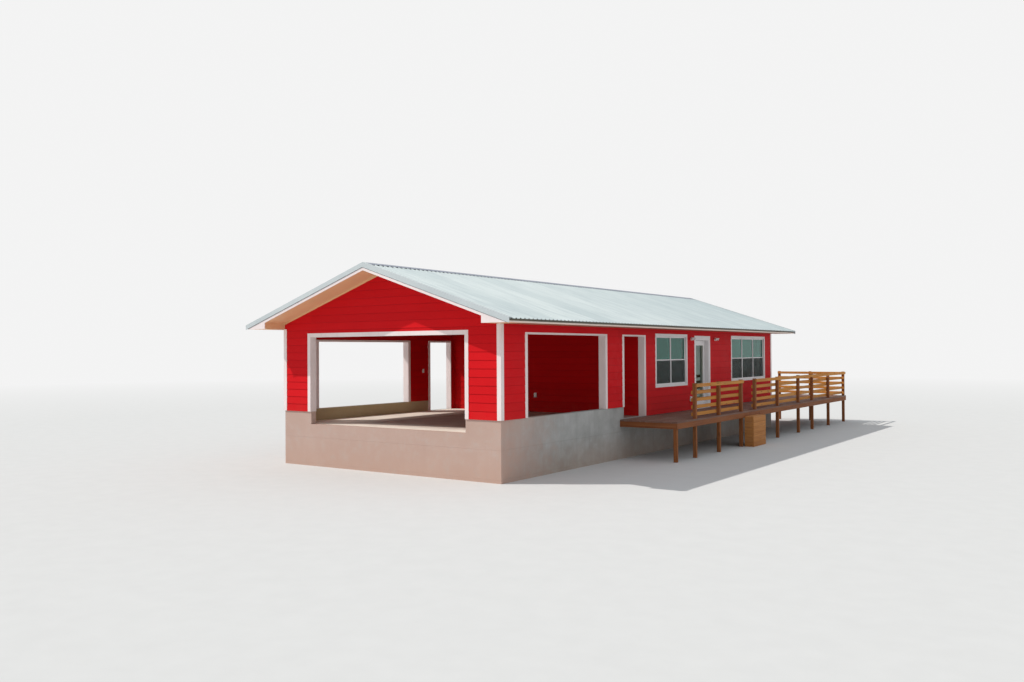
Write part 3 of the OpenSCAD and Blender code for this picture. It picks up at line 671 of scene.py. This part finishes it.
def carport_holes(top, far):
    """The wide opening, the kerb and the doorway of a side wall, both heads boarded up to one height."""
    wide = (WIDE_Y - TRIM_W, WIDE_Y + WIDE_W + TRIM_W, STEM - 1, top)
    kerb = (0, PASS_Y0 - TRIM_W, FLOOR - 1, STEM)
    return [wide, kerb, (PASS_Y0 - TRIM_W, far, FLOOR - 1, top)]


def side_holes(top, far):
    """What the siding of a side wall leaves free."""
    return [(y, y + n * WIN_COL, WIN_Z, WIN_TOP) for y, n in WINDOWS] + carport_holes(top, far + TRIM_W)


def outer_siding():
    door = (DOOR_Y - TRIM_W, DOOR_Y + DOOR_W + TRIM_W, FLOOR - 1, DOOR_TOP + TRIM_W)
    right = ("siding_right_wall", 11, 1, side_holes(TOP_R, RIGHT_Y1) + [door])
    left = ("siding_left_wall", 12, -1, side_holes(TOP_L, LEFT_Y1))
    for name, seed, side, holes in (right, left):
        b = Build(name, seed)
        lap_siding(b, lambda u, o, z: (side * (HW + o), u, z), CORNER_W, LEN - CORNER_W, FLOOR, SOFFIT, holes)
        b.make("siding", "red_siding")


FRONT_HOLE = (-FRONT_W / 2 - TRIM_W, FRONT_W / 2 + TRIM_W, STEM - 1, STEM + FRONT_HEAD + TRIM_W)
FRIEZE_DROP, SEAT_DROP = 195.6, 17
INNER = IW - TRIM


def gable_siding():
    corners = [(HW - CORNER_W, HW, FLOOR - 1, SOFFIT), (-HW, CORNER_W - HW, FLOOR - 1, SOFFIT)]
    rake = APEX - FRIEZE_DROP
    half = HW - 20
    front = ("siding_front_gable", 13, 0, -1, STEM, corners + [FRONT_HOLE])
    rear = ("siding_rear_gable", 14, LEN, 1, FLOOR, corners)
    for name, seed, y, side, foot, holes in (front, rear):
        b = Build(name, seed)
        lap_siding(b, lambda u, o, z: (u, y + side * o, z), -half, half, foot, rake, holes, rake, 0)
        b.make("siding", "red_siding")


def inner_siding():
    """The boards inside the carport, with a small corner strip where two walls meet."""
    rake = APEX - SEAT_DROP
    top = rake - IW * SLOPE
    front, back = WALL + TRIM, HOUSE_Y - TRIM
    b = Build("siding_carport_sides", 15)
    for side, head, far in ((1, TOP_R, RIGHT_Y1), (-1, TOP_L, LEFT_Y1)):
        holes = carport_holes(head, far + LINER)
        lap_siding(b, lambda u, o, z: (side * (IW - o), u, z), front, back, FLOOR, top, holes)
    for x in (-IW, INNER):
        for y, foot in ((WALL, STEM), (back, FLOOR)):
            b.board((x, y, foot), (x + TRIM, y + TRIM, top), 2, 1.5)
    b.make("inner", "red_siding")
    b = Build("siding_carport_ends", 16)
    lap_siding(b, lambda u, o, z: (u, WALL + o, z), -INNER, INNER, STEM, rake, [FRONT_HOLE], rake, 0)
    lap_siding(b, lambda u, o, z: (u, HOUSE_Y - o, z), -INNER, INNER, FLOOR, rake, (), rake, 0)
    b.make("inner", "red_siding")


def across(side, xa, xb):
    """Two places on the right wall, or on the left one, in rising order."""
    return sorted((side * xa, side * xb))


def ring_boards(b, side, xs, ys, zs, ease, w, w_low=None, w_top=None):
    """Four boards round a hole in a side wall, of one width or of three; the top and low ones run through."""
    lo, hi = across(side, *xs)
    (ya, yb), (za, zb) = ys, zs
    b.board((lo, ya - w, zb), (hi, yb + w, zb + (w_top or w)), 1, ease)
    b.board((lo, ya - w, za - (w_low or w)), (hi, yb + w, za), 1, ease)
    b.board((lo, ya - w, za), (hi, ya, zb), 2, ease)
    b.board((lo, yb, za), (hi, yb + w, zb), 2, ease)


def column(y, n, i):
    """The glass edges of one window column."""
    width = n * WIN_COL - 2 * WIN_TRIM
    a = WIN_FRAME if i == 0 else i * width / n + WIN_BAR / 2
    e = width - WIN_FRAME if i == n - 1 else (i + 1) * width / n - WIN_BAR / 2
    return y + WIN_TRIM + a, y + WIN_TRIM + e


def window_frame(casing, sashes, side, y, n):
    """Casing boards, the liner behind them, the frame's ring and the posts between columns."""
    t = WIN_TRIM + WIN_FRAME - SASH_W
    plane = (HW - FRAME_BACK, HW - FRAME_FRONT)
    for b, xs, inset, w, ease in ((casing, (HW, HW + TRIM), WIN_TRIM, WIN_TRIM, 2),
                                  (casing, (HW - FRAME_BACK, HW + TRIM - 3), WIN_TRIM + RING, RING_T, 1),
                                  (sashes, plane, t, WIN_FRAME - SASH_W - RING, 1.5)):
        hole = (y + inset, y + n * WIN_COL - inset), (WIN_Z + inset, WIN_TOP - inset)
        ring_boards(b, side, xs, *hole, ease, w)
    lo, hi = across(side, *plane)
    for i in range(1, n):
        mid = y + WIN_TRIM + i * (n * WIN_COL - 2 * WIN_TRIM) / n
        sashes.board((lo, mid - WIN_MULL / 2, WIN_Z + t), (hi, mid + WIN_MULL / 2, WIN_TOP - t), 2, 2)


def window_column(parts, side, a, e):
    """The two sashes of one column with their panes, glazing beads, lock and half screen."""
    sashes, panes, screens, screen_frames, locks = parts
    lower = (SASH_Z0, SASH_M - WIN_RAIL / 2, LOW_SASH, SASH_W, SASH_LAP)
    upper = (SASH_M + WIN_RAIL / 2, SASH_Z1, UP_SASH, SASH_LAP, SASH_W)
    for za, zb, back, low, top in (lower, upper):
        plane = (HW - back - SASH_T, HW - back)
        ring_boards(sashes, side, plane, (a, e), (za, zb), 2.5, SASH_W - SNUG, low, top)
        hole = (a + BEAD, e - BEAD), (za + BEAD, zb - BEAD)
        ring_boards(sashes, side, (plane[1] - 1 - BEAD_T, plane[1] - 1), *hole, 1.2, BEAD)
        lo, hi = across(side, plane[1] - PANE_IN - PANE_T, plane[1] - PANE_IN)
        panes.box((lo, a - PANE_LAP, za - PANE_LAP), (hi, e + PANE_LAP, zb + PANE_LAP), 2)
    w = SCREEN_BAR
    ys = (a - SASH_W + w, e + SASH_W - w)
    zs = (SASH_Z0 - SASH_W + w, SASH_M + SCREEN_OVER - w)
    face = HW - SCREEN_IN
    ring_boards(screen_frames, side, (face - SCREEN_T, face), ys, zs, 1, w)
    lo, hi = across(side, face - SCREEN_T / 2 - 0.5, face - SCREEN_T / 2 + 0.5)
    screens.box((lo, ys[0] - 3, zs[0] - 3), (hi, ys[1] + 3, zs[1] + 3), 2)
    middle, z = (a + e) / 2, SASH_M - WIN_RAIL / 2 + SASH_LAP
    face = HW - UP_SASH - SASH_T - LOCK_BACK
    lo, hi = across(side, face - LOCK_D, face)
    locks.board((lo, middle - LOCK_W / 2, z), (hi, middle + LOCK_W / 2, z + LOCK_H), 1, 1.5)
    locks.turned(((lo + hi) / 2, middle, z + LOCK_H), (0, 0, 1), LOCK_KNOB, 16)


WINDOW_PARTS = {
    "window_casings": ("frame", "white_paint", "window_frames"),
    "window_sashes": ("frame", "white_paint"),
    "window_panes": ("glass", "glass", "window_glass"),
    "window_screens": ("screen",),
    "window_screen_frames": ("frame", "white_paint"),
    "window_locks": ("plastic", "white_plastic"),
}


def windows():
    parts = [Build(name, 21 + i) for i, name in enumerate(WINDOW_PARTS)]
    for side in (1, -1):
        for y, n in WINDOWS:
            window_frame(*parts[:2], side, y, n)
            for i in range(n):
                window_column(parts[1:], side, *column(y, n, i))
    for b in parts:
        b.make(*WINDOW_PARTS[b.name])


def on_slope(side, s, y, n):
    """Point at a distance down the slope and out from the roof deck."""
    return (side * (s * RUN + n * FALL), y, APEX - s * FALL + n * RUN)


SCREW_ROWS = range(230, 3881, 730)
WASHER = [(9, 0), (9, 1.2), (6.5, 2.2)]
HEX_HEAD = [(5, 0), (5, 4.5), (4.2, 5.4)]


def roof_screws():
    """A screw with its washer in every second flat between ribs, in rows down each slope."""
    b = Build("roof_screws", 41)
    seat = SHEET_T + 2 * SNUG
    for side in (1, -1):
        out = (side * FALL, 0, RUN)
        for s in SCREW_ROWS:
            for k in range(1, RIBS - 1, 2):
                y = Y0 + (k + 1) * RIB_P
                b.turned(on_slope(side, s, y, seat), out, WASHER, 12)
                b.turned(on_slope(side, s, y, seat + WASHER[-1][1]), out, HEX_HEAD, 6)
    b.make("zinc", "roof_metal")


CLOSURE_W = 25
CAP_IN, EAVE_IN = 1, 14


def roof_closures():
    """Foam that fills the gaps between ribs under the ridge cap, and the hollow ribs at the eaves, set near
    the sheets' edge as painted shade in the rib hollows.
    """
    b = Build("roof_closures", 42)
    seat, crown = SHEET_T + 2 * SNUG, SHEET_T + RIB_H - SNUG
    between = ((RIB_P - RIB_FOOT) / 2 - 1, (RIB_P - RIB_CREST) / 2 - 1, seat, crown)
    under = (RIB_FOOT / 2 - 3, RIB_CREST / 2 - 3, SNUG, RIB_H - 1)

    def closure(side, s, y, foot, crest, low, high):
        outline = [(y - foot, low), (y + foot, low), (y + crest, high), (y - crest, high)]
        b.loft([[on_slope(side, s - w, u, n) for u, n in outline] for w in (0, CLOSURE_W)], 1)

    for side in (1, -1):
        for i in range(RIBS):
            y = Y0 + (i + 0.5) * RIB_P
            if i < RIBS - 1:
                closure(side, CAP_HALF / RUN - CAP_IN, y + RIB_P / 2, *between)
            closure(side, EDGE_X / RUN - EAVE_IN, y, *under)
    b.make("foam")


DRIP_H, DRIP_KICK, DRIP_LEN, DRIP_LAP = 56, 5, 3050, 20


def drip_edges():
    """Folded metal over the top of each fascia, in lengths that lap, dark brown as painted shade under the
    sheets' edge.
    """
    b = Build("eave_drip_edges", 43)
    ya, yb = Y0 + DRIP_LAP, Y1 - DRIP_LAP
    pieces = math.ceil((yb - ya) / DRIP_LEN)
    step = (yb - ya) / pieces
    top = APEX - XF * SLOPE
    low = top - DRIP_H
    for side in (1, -1):
        for k in range(pieces):
            out = XF + SNUG + (k % 2) * 0.8
            kick = (out + DRIP_KICK, low - DRIP_KICK)
            outline = [(out, low), kick, (kick[0] + 1, kick[1] + 1),
                       (out + 1, low + 1), (out + 1, top - 1), (out, top - 1)]
            ends = (ya + k * step - (DRIP_LAP if k else 0), ya + (k + 1) * step)
            b.loft([[(side * x, y, z) for x, z in outline] for y in ends], 1)
    b.make("drip", "roof_metal")


SHADE_TAPE_H, SHADE_TAPE_T = 8, 2


def rake_shade_tapes():
    """Dark sealing tape on the barge boards, right under the hem of each rake flashing, as painted shade
    below the hem.
    """
    b = Build("rake_shade_tapes", 44)
    top = span("rake_trims", 2)[0] + span("rake_trims", 0)[1] * SLOPE - SNUG
    for side in (1, -1):
        for ya, yb in ((Y0 - SHADE_TAPE_T, Y0 - SNUG), (Y1 + SNUG, Y1 + SHADE_TAPE_T)):
            outline = [(2, top - 2 * SLOPE), (XF - 2, top - (XF - 2) * SLOPE)]
            outline += [(x, z - SHADE_TAPE_H) for x, z in reversed(outline)]
            b.loft([[(side * x, y, z) for x, z in outline] for y in (ya, yb)], 1)
    b.make("foam")


def rects_minus(rect, holes):
    """The parts of a flat rectangle (xa, xb, ya, yb) that no hole covers."""
    parts = [rect]
    for ha, hb, hc, hd in holes:
        rest = []
        for xa, xb, ya, yb in parts:
            if hb <= xa or ha >= xb or hd <= ya or hc >= yb:
                rest.append((xa, xb, ya, yb))
                continue
            mid_a, mid_b = max(ya, hc), min(yb, hd)
            cut = [(xa, xb, ya, hc), (xa, xb, hd, yb), (xa, ha, mid_a, mid_b), (hb, xb, mid_a, mid_b)]
            rest += [r for r in cut if r[1] - r[0] > 0.5 and r[3] - r[2] > 0.5]
        parts = rest
    return parts


PLANK_W, PLANK_GAP, PLANK_BUTT, WALL_CLEAR = 140, 5, 1.2, 12
PLANK_JOISTS, FIRST_JOISTS, LAST_MIN = 6, (7, 4), 900
NARROW, END_CLEAR = 60, 60
SCREW_IN = 24
POST_HOLES = [(x - 2, x + POST + 2, y - 2, y + POST + 2) for x, y in POSTS]
SCREW_HEAD = [(4.2, 0), (4.2, 0.7), (2.2, 1.0)]


def plank_lengths(ya, row):
    """Ends of the planks in one row of the deck, staggered from row to row."""
    marks = [ya]
    y = ya + FIRST_JOISTS[row % 2] * JOIST_P + BOARD / 2
    while y < DECK_Y1 - LAST_MIN:
        marks.append(y)
        y += PLANK_JOISTS * JOIST_P
    return marks + [DECK_Y1]


def deck_row(planks, screws, x0, x1, ya, row):
    """One row of planks along the building, notched round the posts, with a pair of screws on each joist."""
    marks = plank_lengths(ya, row)
    wide = x1 - x0 > NARROW
    for k, (m0, m1) in enumerate(zip(marks, marks[1:])):
        rect = (x0, x1, m0 + (PLANK_BUTT if k else 0), m1 - (PLANK_BUTT if m1 < DECK_Y1 else 0))
        parts = rects_minus(rect, POST_HOLES)
        for xa, xb, yc, yd in parts:
            lo, hi = (xa, yc, DECK_TOP - BOARD), (xb, yd, DECK_TOP)
            if len(parts) == 1 and wide:
                planks.board(lo, hi, 1, 3)
            else:
                planks.box(lo, hi, 1, key=(row, k))
    y = DECK_Y0 + JOIST_P + BOARD / 2
    while y < DECK_Y1 - END_CLEAR and wide:
        for x in (x0 + SCREW_IN, x1 - SCREW_IN):
            if y > ya + 20 and not any(h[0] < x < h[1] and h[2] < y < h[3] for h in POST_HOLES):
                screws.turned((x, y, DECK_TOP - 0.5), (0, 0, 1), SCREW_HEAD, 8)
        y += JOIST_P


def deck_floor(screws):
    planks = Build("deck_planks", 51)
    x1, row = DECK_X1, 0
    edge = HW + WALL_CLEAR
    while x1 > REAR_X0 + 20:
        beside = x1 > edge
        x0 = max(x1 - PLANK_W, REAR_X0)
        if beside and x0 < edge:
            x0 = DECK_X0
        deck_row(planks, screws, x0, x1, DECK_Y0 if beside else REAR_Y0, row)
        x1 = x0 - PLANK_GAP
        row += 1
    planks.make("deck", "deck_timber", "deck_boards")


RIM_LEN, RIM_MIN, RIM_BUTT = 4880, 1200, 0.8


def deck_frame():
    """Rims, ledgers and joists under the planks, long rims in two lengths and more."""
    b = Build("deck_joists", 53)
    z0, z1 = DECK_TOP - BOARD - RIM_H, DECK_TOP - BOARD
    xi, yi = DECK_X0, REAR_Y0

    def rim_run(xa, ya, yb):
        y = ya
        while y < yb - 1:
            end = yb if y + RIM_LEN > yb - RIM_MIN else y + RIM_LEN
            cut = [RIM_BUTT if inner else 0 for inner in (y > ya, end < yb)]
            b.board((xa, y + cut[0], z0), (xa + BOARD, end - cut[1], z1), 1, 2.5)
            y = end

    def cross(xa, xb, y):
        b.board((xa, y, z0), (xb, y + BOARD, z1), 0, 2.5)

    rim_run(POST_X1, DECK_Y0, DECK_Y1)
    rim_run(xi, DECK_Y0 + BOARD + SNUG, DECK_Y1 - BOARD - SNUG)
    rim_run(REAR_X0, yi, DECK_Y1 - BOARD - SNUG)
    cross(xi, POST_X1 - SNUG, DECK_Y0)
    cross(REAR_X0, POST_X1 - SNUG, DECK_Y1 - BOARD)
    cross(REAR_X0 + BOARD + SNUG, xi - SNUG, yi)
    y = DECK_Y0 + JOIST_P
    while y <= DECK_Y1 - JOIST_P:
        if min(abs(q + POST / 2 - y - BOARD / 2) for q in POSTS_A + POSTS_B) > POST:
            cross(xi + BOARD + SNUG, POST_X1 - SNUG, y)
        y += JOIST_P
    y = yi + JOIST_P
    while y <= DECK_Y1 - JOIST_P:
        if abs((yi + END_Y) / 2 + POST / 2 - y - BOARD / 2) > POST:
            cross(REAR_X0 + BOARD + SNUG, xi - SNUG, y)
        y += JOIST_P
    b.make("joist", "deck_timber", "deck_frame")


def deck_posts():
    b = Build("deck_post_timbers", 54)
    for x, y in POSTS:
        b.board((x, y, 0), (x + POST, y + POST, POST_TOP), 2, 5)
    under = [(POST_X0, DECK_Y0 + BOARD)]
    under += [(REAR_X0 + BOARD, y) for y in (REAR_Y0 + BOARD, (REAR_Y0 + END_Y) / 2)]
    for x, y in under:
        b.board((x, y, 0), (x + POST, y + POST, DECK_TOP - BOARD), 2, 5)
    b.make("post", "deck_timber", "deck_posts")


RAIL_MIN = 500


def railings(screws):
    """Five planks a run, the top one outside the posts, the others inside; they meet on the posts."""
    b = Build("railing_planks", 55)

    def run(xa, ya, yb, za, stops):
        marks = [ya] + [s for s in stops if ya + RAIL_MIN < s < yb - RAIL_MIN] + [yb]
        for k, (m0, m1) in enumerate(zip(marks, marks[1:])):
            lo = (xa, m0 + (1 if k else 0), za)
            hi = (xa + BOARD, m1 - (1 if k < len(marks) - 2 else 0), za + PLANK_H)
            b.board(lo, hi, 1, 5)

    for i in range(PLANK_N):
        za = RAIL_Z1 - i * PLANK_P - PLANK_H
        xa = POST_X1 if i == 0 else POST_X0 - BOARD
        stops = POSTS_B[1:4:2] if i % 2 else POSTS_B[2:5:2]
        run(xa, POSTS_A[0], POSTS_A[2] + POST, za, [] if i % 2 else [POSTS_A[1] + POST / 2])
        yb = END_Y + POST if i == 0 else END_Y - BOARD - SNUG
        run(xa, POSTS_B[0], yb, za, [p + POST / 2 for p in stops])
        b.board((REAR_X0 + BOARD, END_Y - BOARD, za), (POST_X1 - SNUG, END_Y, za + PLANK_H), 0, 5)
        face, aim = (POST_X1 + BOARD - 0.5, 1) if i == 0 else (POST_X0 - BOARD + 0.5, -1)
        for p in POSTS_A + POSTS_B[:-1]:
            for dy, dz in ((SCREW_IN, SCREW_IN), (POST - SCREW_IN, PLANK_H - SCREW_IN)):
                screws.turned((face, p + dy, za + dz), (aim, 0, 0), SCREW_HEAD, 8)
    b.make("plank", "deck_timber", "railings")


STEP_LEVELS, STEP_SEAM = 6, 1.5


def box_step():
    b = Build("step_boards", 56)
    half = (STEP_X1 - DECK_X1 - PLANK_GAP) / 2
    for k in range(2):
        x = DECK_X1 + k * (half + PLANK_GAP)
        b.board((x, STEP_Y0, STEP_TOP - BOARD), (x + half, STEP_Y1, STEP_TOP), 1, 3)
    tall = (STEP_TOP - BOARD) / STEP_LEVELS
    for k in range(STEP_LEVELS):
        za = k * tall + (STEP_SEAM if k else 0)
        zb = (k + 1) * tall - (STEP_SEAM if k < STEP_LEVELS - 1 else 0)
        b.board((STEP_X1 - BOARD, STEP_Y0, za), (STEP_X1, STEP_Y1, zb), 1, 2.5)
        for y in (STEP_Y0, STEP_Y1 - BOARD):
            b.board((DECK_X1, y, za), (STEP_X1 - BOARD - SNUG, y + BOARD, zb), 0, 2.5)
    b.make("rim", "deck_timber", "box_step")


def deck():
    screws = Build("deck_screws", 52)
    deck_floor(screws)
    deck_frame()
    deck_posts()
    railings(screws)
    box_step()
    screws.make("zinc")


LAMP_Z = STEM + 1765
LAMP_YS = ((WINDOWS[0][0] + 2 * WIN_COL + DOOR_Y) / 2, DOOR_Y + DOOR_W + 500)
LAMP_TILT = math.radians(112)
LAMP_BASE = [(55, 0), (55, 8), (50, 16), (34, 22), (33, 25)]
LAMP_HUB = [(20, 24), (20, 46), (14, 52)]
ARM_AT, HEAD_AT, HEAD_BACK = (38, 8, 2), (48, 60, 12), 15
LAMP_ARM = [(10, 0), (10, 24), (13, 26), (13, 40)]
LAMP_HEAD = [(18, 0), (27, 4), (31, 14), (33, 30), (41, 44), (43, 60), (43, 70), (39, 70), (38, 58)]
LAMP_LENS = [(37.5, 50), (37.5, 60), (30, 64), (16, 67), (2, 68)]


def floodlights():
    """Two lamps of two heads each on a round base, one on each side of the door."""
    bodies = Build("floodlight_bodies", 61)
    lenses = Build("floodlight_lenses", 62)
    for y in LAMP_YS:
        bodies.turned((HW, y, LAMP_Z), (1, 0, 0), LAMP_BASE, 36)
        bodies.turned((HW, y, LAMP_Z), (1, 0, 0), LAMP_HUB, 24)
        for s in (-1, 1):
            arm, head = [Vector((HW + dx, y + s * dy, LAMP_Z + dz)) for dx, dy, dz in (ARM_AT, HEAD_AT)]
            bodies.turned(arm, (0.35, s, 0.15), LAMP_ARM, 18)
            aim = Vector((math.sin(LAMP_TILT), s * 0.18, math.cos(LAMP_TILT))).normalized()
            at = head - aim * HEAD_BACK
            bodies.turned(at, aim, LAMP_HEAD, 32)
            lenses.turned(at, aim, LAMP_LENS, 28)
    bodies.make("plastic", "white_plastic", "floodlights")
    lenses.make("lens", "white_plastic")


DOOR_OUTLET = (DOOR_Y - 405, STEM - 55, STEM + 90)
WALL_OUTLET = (-160, STEM + 111, STEM + 241)
SWITCH = (PASS_Y0 - 319, STEM + 872)
OUTLET_W, OUTLET_T, LID_W = 40, 20, 38


def outlet_boxes():
    """Weather covers beside the door and on the carport's rear wall, and a switch on its left wall."""
    b = Build("outlet_boxes", 63)
    w, lid = OUTLET_W, LID_W
    y, z0, z1 = DOOR_OUTLET
    face = HW + OUTLET_T + 2
    b.board((HW, y - w, z0), (face, y + w, z1), 2, 4)
    b.board((face + SNUG, y - lid, z0 + 3), (face + 33, y + lid, z1 - 4), 2, 9)
    b.board((face - 14, y - 22, z1 - 4), (face + 8, y + 22, z1), 1, 1.5)
    x, z0, z1 = WALL_OUTLET
    face = HOUSE_Y - OUTLET_T
    b.board((x - w, face, z0), (x + w, HOUSE_Y, z1), 2, 4)
    b.board((x - lid, face - 25, z0 + 3), (x + lid, face - SNUG, z1 - 4), 2, 8)
    y, z = SWITCH
    face = OUTLET_T - IW
    b.board((-IW, y - 36, z - 57), (face, y + 36, z + 58), 2, 3)
    b.board((face, y - 7, z - 17), (face + 7, y + 7, z + 18), 2, 2)
    b.make("plastic", "white_plastic", "outlet_covers")


LOOK = {
    "core": ("front_piers", "front_gable", "side_wall_fronts", "side_wall_mids", "side_wall_heads",
             "right_wall_bay", "right_wall_door_head", "right_wall_rear", "left_wall_house", "rear_wall",
             "house_front_wall"),
    "stem": ("stem_sides", "stem_ends", "kerb_sides", "kerb_front"),
    "slab": ("carport_slab", "house_floor"),
    "strand": ("roof_deck",),
    "roof": ("roof_sheet_left", "roof_sheet_right"),
    "ridge": ("ridge_cap",),
    "rake": ("rake_trims",),
    "white": ("barge_boards", "corner_boards", "opening_casings"),
    "frame": ("door_frame",),
    "fascia": ("fascias",),
    "tan": ("soffits",),
    "steel": ("hinge_fixed", "hinge_moving", "door_handle"),
    "door": ("door_leaf",),
    "lite": ("door_glass",),
}
EASED = {"barge_boards": 2, "corner_boards": 2, "opening_casings": 2, "door_frame": 1.5, "fascias": 2,
         "door_leaf": 2, "door_handle": 1.2, "kerb_sides": 8, "kerb_front": 8,
         "stem_sides": 6, "stem_ends": 6, "ridge_cap": 0.8}


def cad_looks():
    """Materials of the nodes that stay, and their eased edges in mm."""
    for look, names in LOOK.items():
        for name in names:
            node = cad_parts[name]
            node.data.materials.clear()
            node.data.materials.append(M[look])
    for name, width in EASED.items():
        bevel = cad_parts[name].modifiers.new("eased", "BEVEL")
        bevel.width = width * MM
        bevel.segments = 2
        bevel.limit_method = "ANGLE"
        bevel.angle_limit = math.radians(35)


BACKDROP = (0.90, 0.90, 0.90)
FLOOR_R, FLOOR_Y = 220.0, 8.0
FADE_FROM, FADE_TO = 22.0, 70.0
SKY, SKY_LIGHT = (0.91, 0.955, 1.0), 0.63


def stage_floor():
    """Pale floor that fades into the backdrop's colour far from the building."""
    mesh = bpy.data.meshes.new("floor")
    r = FLOOR_R
    mesh.from_pydata([(-r, -r, 0), (r, -r, 0), (r, r, 0), (-r, r, 0)], [], [(0, 1, 2, 3)])
    t = Tree("floor_pale")
    p = t.position()
    fine = t.noise(p, 2.5, 3)
    far = t.node("VectorMath", {0: p}, operation="LENGTH").outputs["Value"]
    color = t.mix(t.mid(fine), (0.655, 0.655, 0.650), (0.675, 0.675, 0.670))
    diffuse = t.node("BsdfDiffuse", {"Color": color}).outputs[0]
    glow = t.node("Emission", {"Color": BACKDROP, "Strength": 1.0}).outputs[0]
    blend = t.node("MixShader")
    t.put(blend.inputs[0], t.span(far, FADE_FROM, FADE_TO))
    t.put(blend.inputs[1], diffuse)
    t.put(blend.inputs[2], glow)
    t.links.new(blend.outputs[0], t.out.inputs[0])
    mesh.materials.append(t.mat)
    floor = new_object("floor", mesh)
    floor.location = (0, FLOOR_Y, 0)


def studio_world():
    """Soft even light; the camera, gloss and glass see the backdrop's own colour."""
    world = bpy.data.worlds.new("studio")
    bpy.context.scene.world = world
    world.use_nodes = True
    nodes, links = world.node_tree.nodes, world.node_tree.links
    nodes.clear()
    out = nodes.new("ShaderNodeOutputWorld")
    ray = nodes.new("ShaderNodeLightPath")
    seen = ray.outputs["Is Camera Ray"]
    for name in ("Is Glossy Ray", "Is Transmission Ray"):
        either = nodes.new("ShaderNodeMath")
        either.operation = "MAXIMUM"
        links.new(seen, either.inputs[0])
        links.new(ray.outputs[name], either.inputs[1])
        seen = either.outputs[0]
    mix = nodes.new("ShaderNodeMixShader")
    links.new(seen, mix.inputs[0])
    for i, color, strength in ((1, SKY, SKY_LIGHT), (2, BACKDROP, 1.0)):
        light = nodes.new("ShaderNodeBackground")
        light.inputs[0].default_value = (*color, 1)
        light.inputs[1].default_value = strength
        links.new(light.outputs[0], mix.inputs[i])
    links.new(mix.outputs[0], out.inputs[0])


SUN_TRAVEL = (0.986, 0.640, -1.170)
SUN_POWER, SUN_WIDTH, SUN_COLOR = 2.75, math.radians(0.6), (1.0, 0.97, 0.92)


def key_light():
    sun = bpy.data.lights.new("key", "SUN")
    sun.energy = SUN_POWER
    sun.angle = SUN_WIDTH
    sun.color = SUN_COLOR
    key = new_object("key", sun)
    key.rotation_mode = "QUATERNION"
    key.rotation_quaternion = Vector(SUN_TRAVEL).to_track_quat("-Z", "Y")


CAMERA_AT = (14.1118, -15.1632, 2.7251)
CAMERA_TURN = (-0.6100387617, 0.0114862856, -0.0055999973)
SENSOR = 36.0
LENS = 31.768


def camera():
    """The photograph's camera, as fitted to the building's corners: turn, lift and roll in radians."""
    turn, lift, roll = CAMERA_TURN
    ahead = Vector((math.sin(turn), math.cos(turn), 0))
    right = Vector((math.cos(turn), -math.sin(turn), 0))
    up = Vector((0, 0, 1))
    forward = ahead * math.cos(lift) + up * math.sin(lift)
    up = up * math.cos(lift) - ahead * math.sin(lift)
    x_axis = right * math.cos(roll) + up * math.sin(roll)
    y_axis = up * math.cos(roll) - right * math.sin(roll)
    data = bpy.data.cameras.new("photo_camera")
    data.sensor_width = SENSOR
    data.lens = LENS
    data.clip_start, data.clip_end = 0.1, 1000.0
    cam = new_object("photo_camera", data)
    axes = Matrix((x_axis, y_axis, -forward)).transposed()
    cam.matrix_world = Matrix.Translation(CAMERA_AT) @ axes.to_4x4()
    bpy.context.scene.camera = cam


camera()
stage_floor()
studio_world()
key_light()
outer_siding()
gable_siding()
inner_siding()
windows()
roof_screws()
roof_closures()
drip_edges()
rake_shade_tapes()
deck()
floodlights()
outlet_boxes()
cad_looks()
bpy.context.scene.view_settings.view_transform = "Standard"
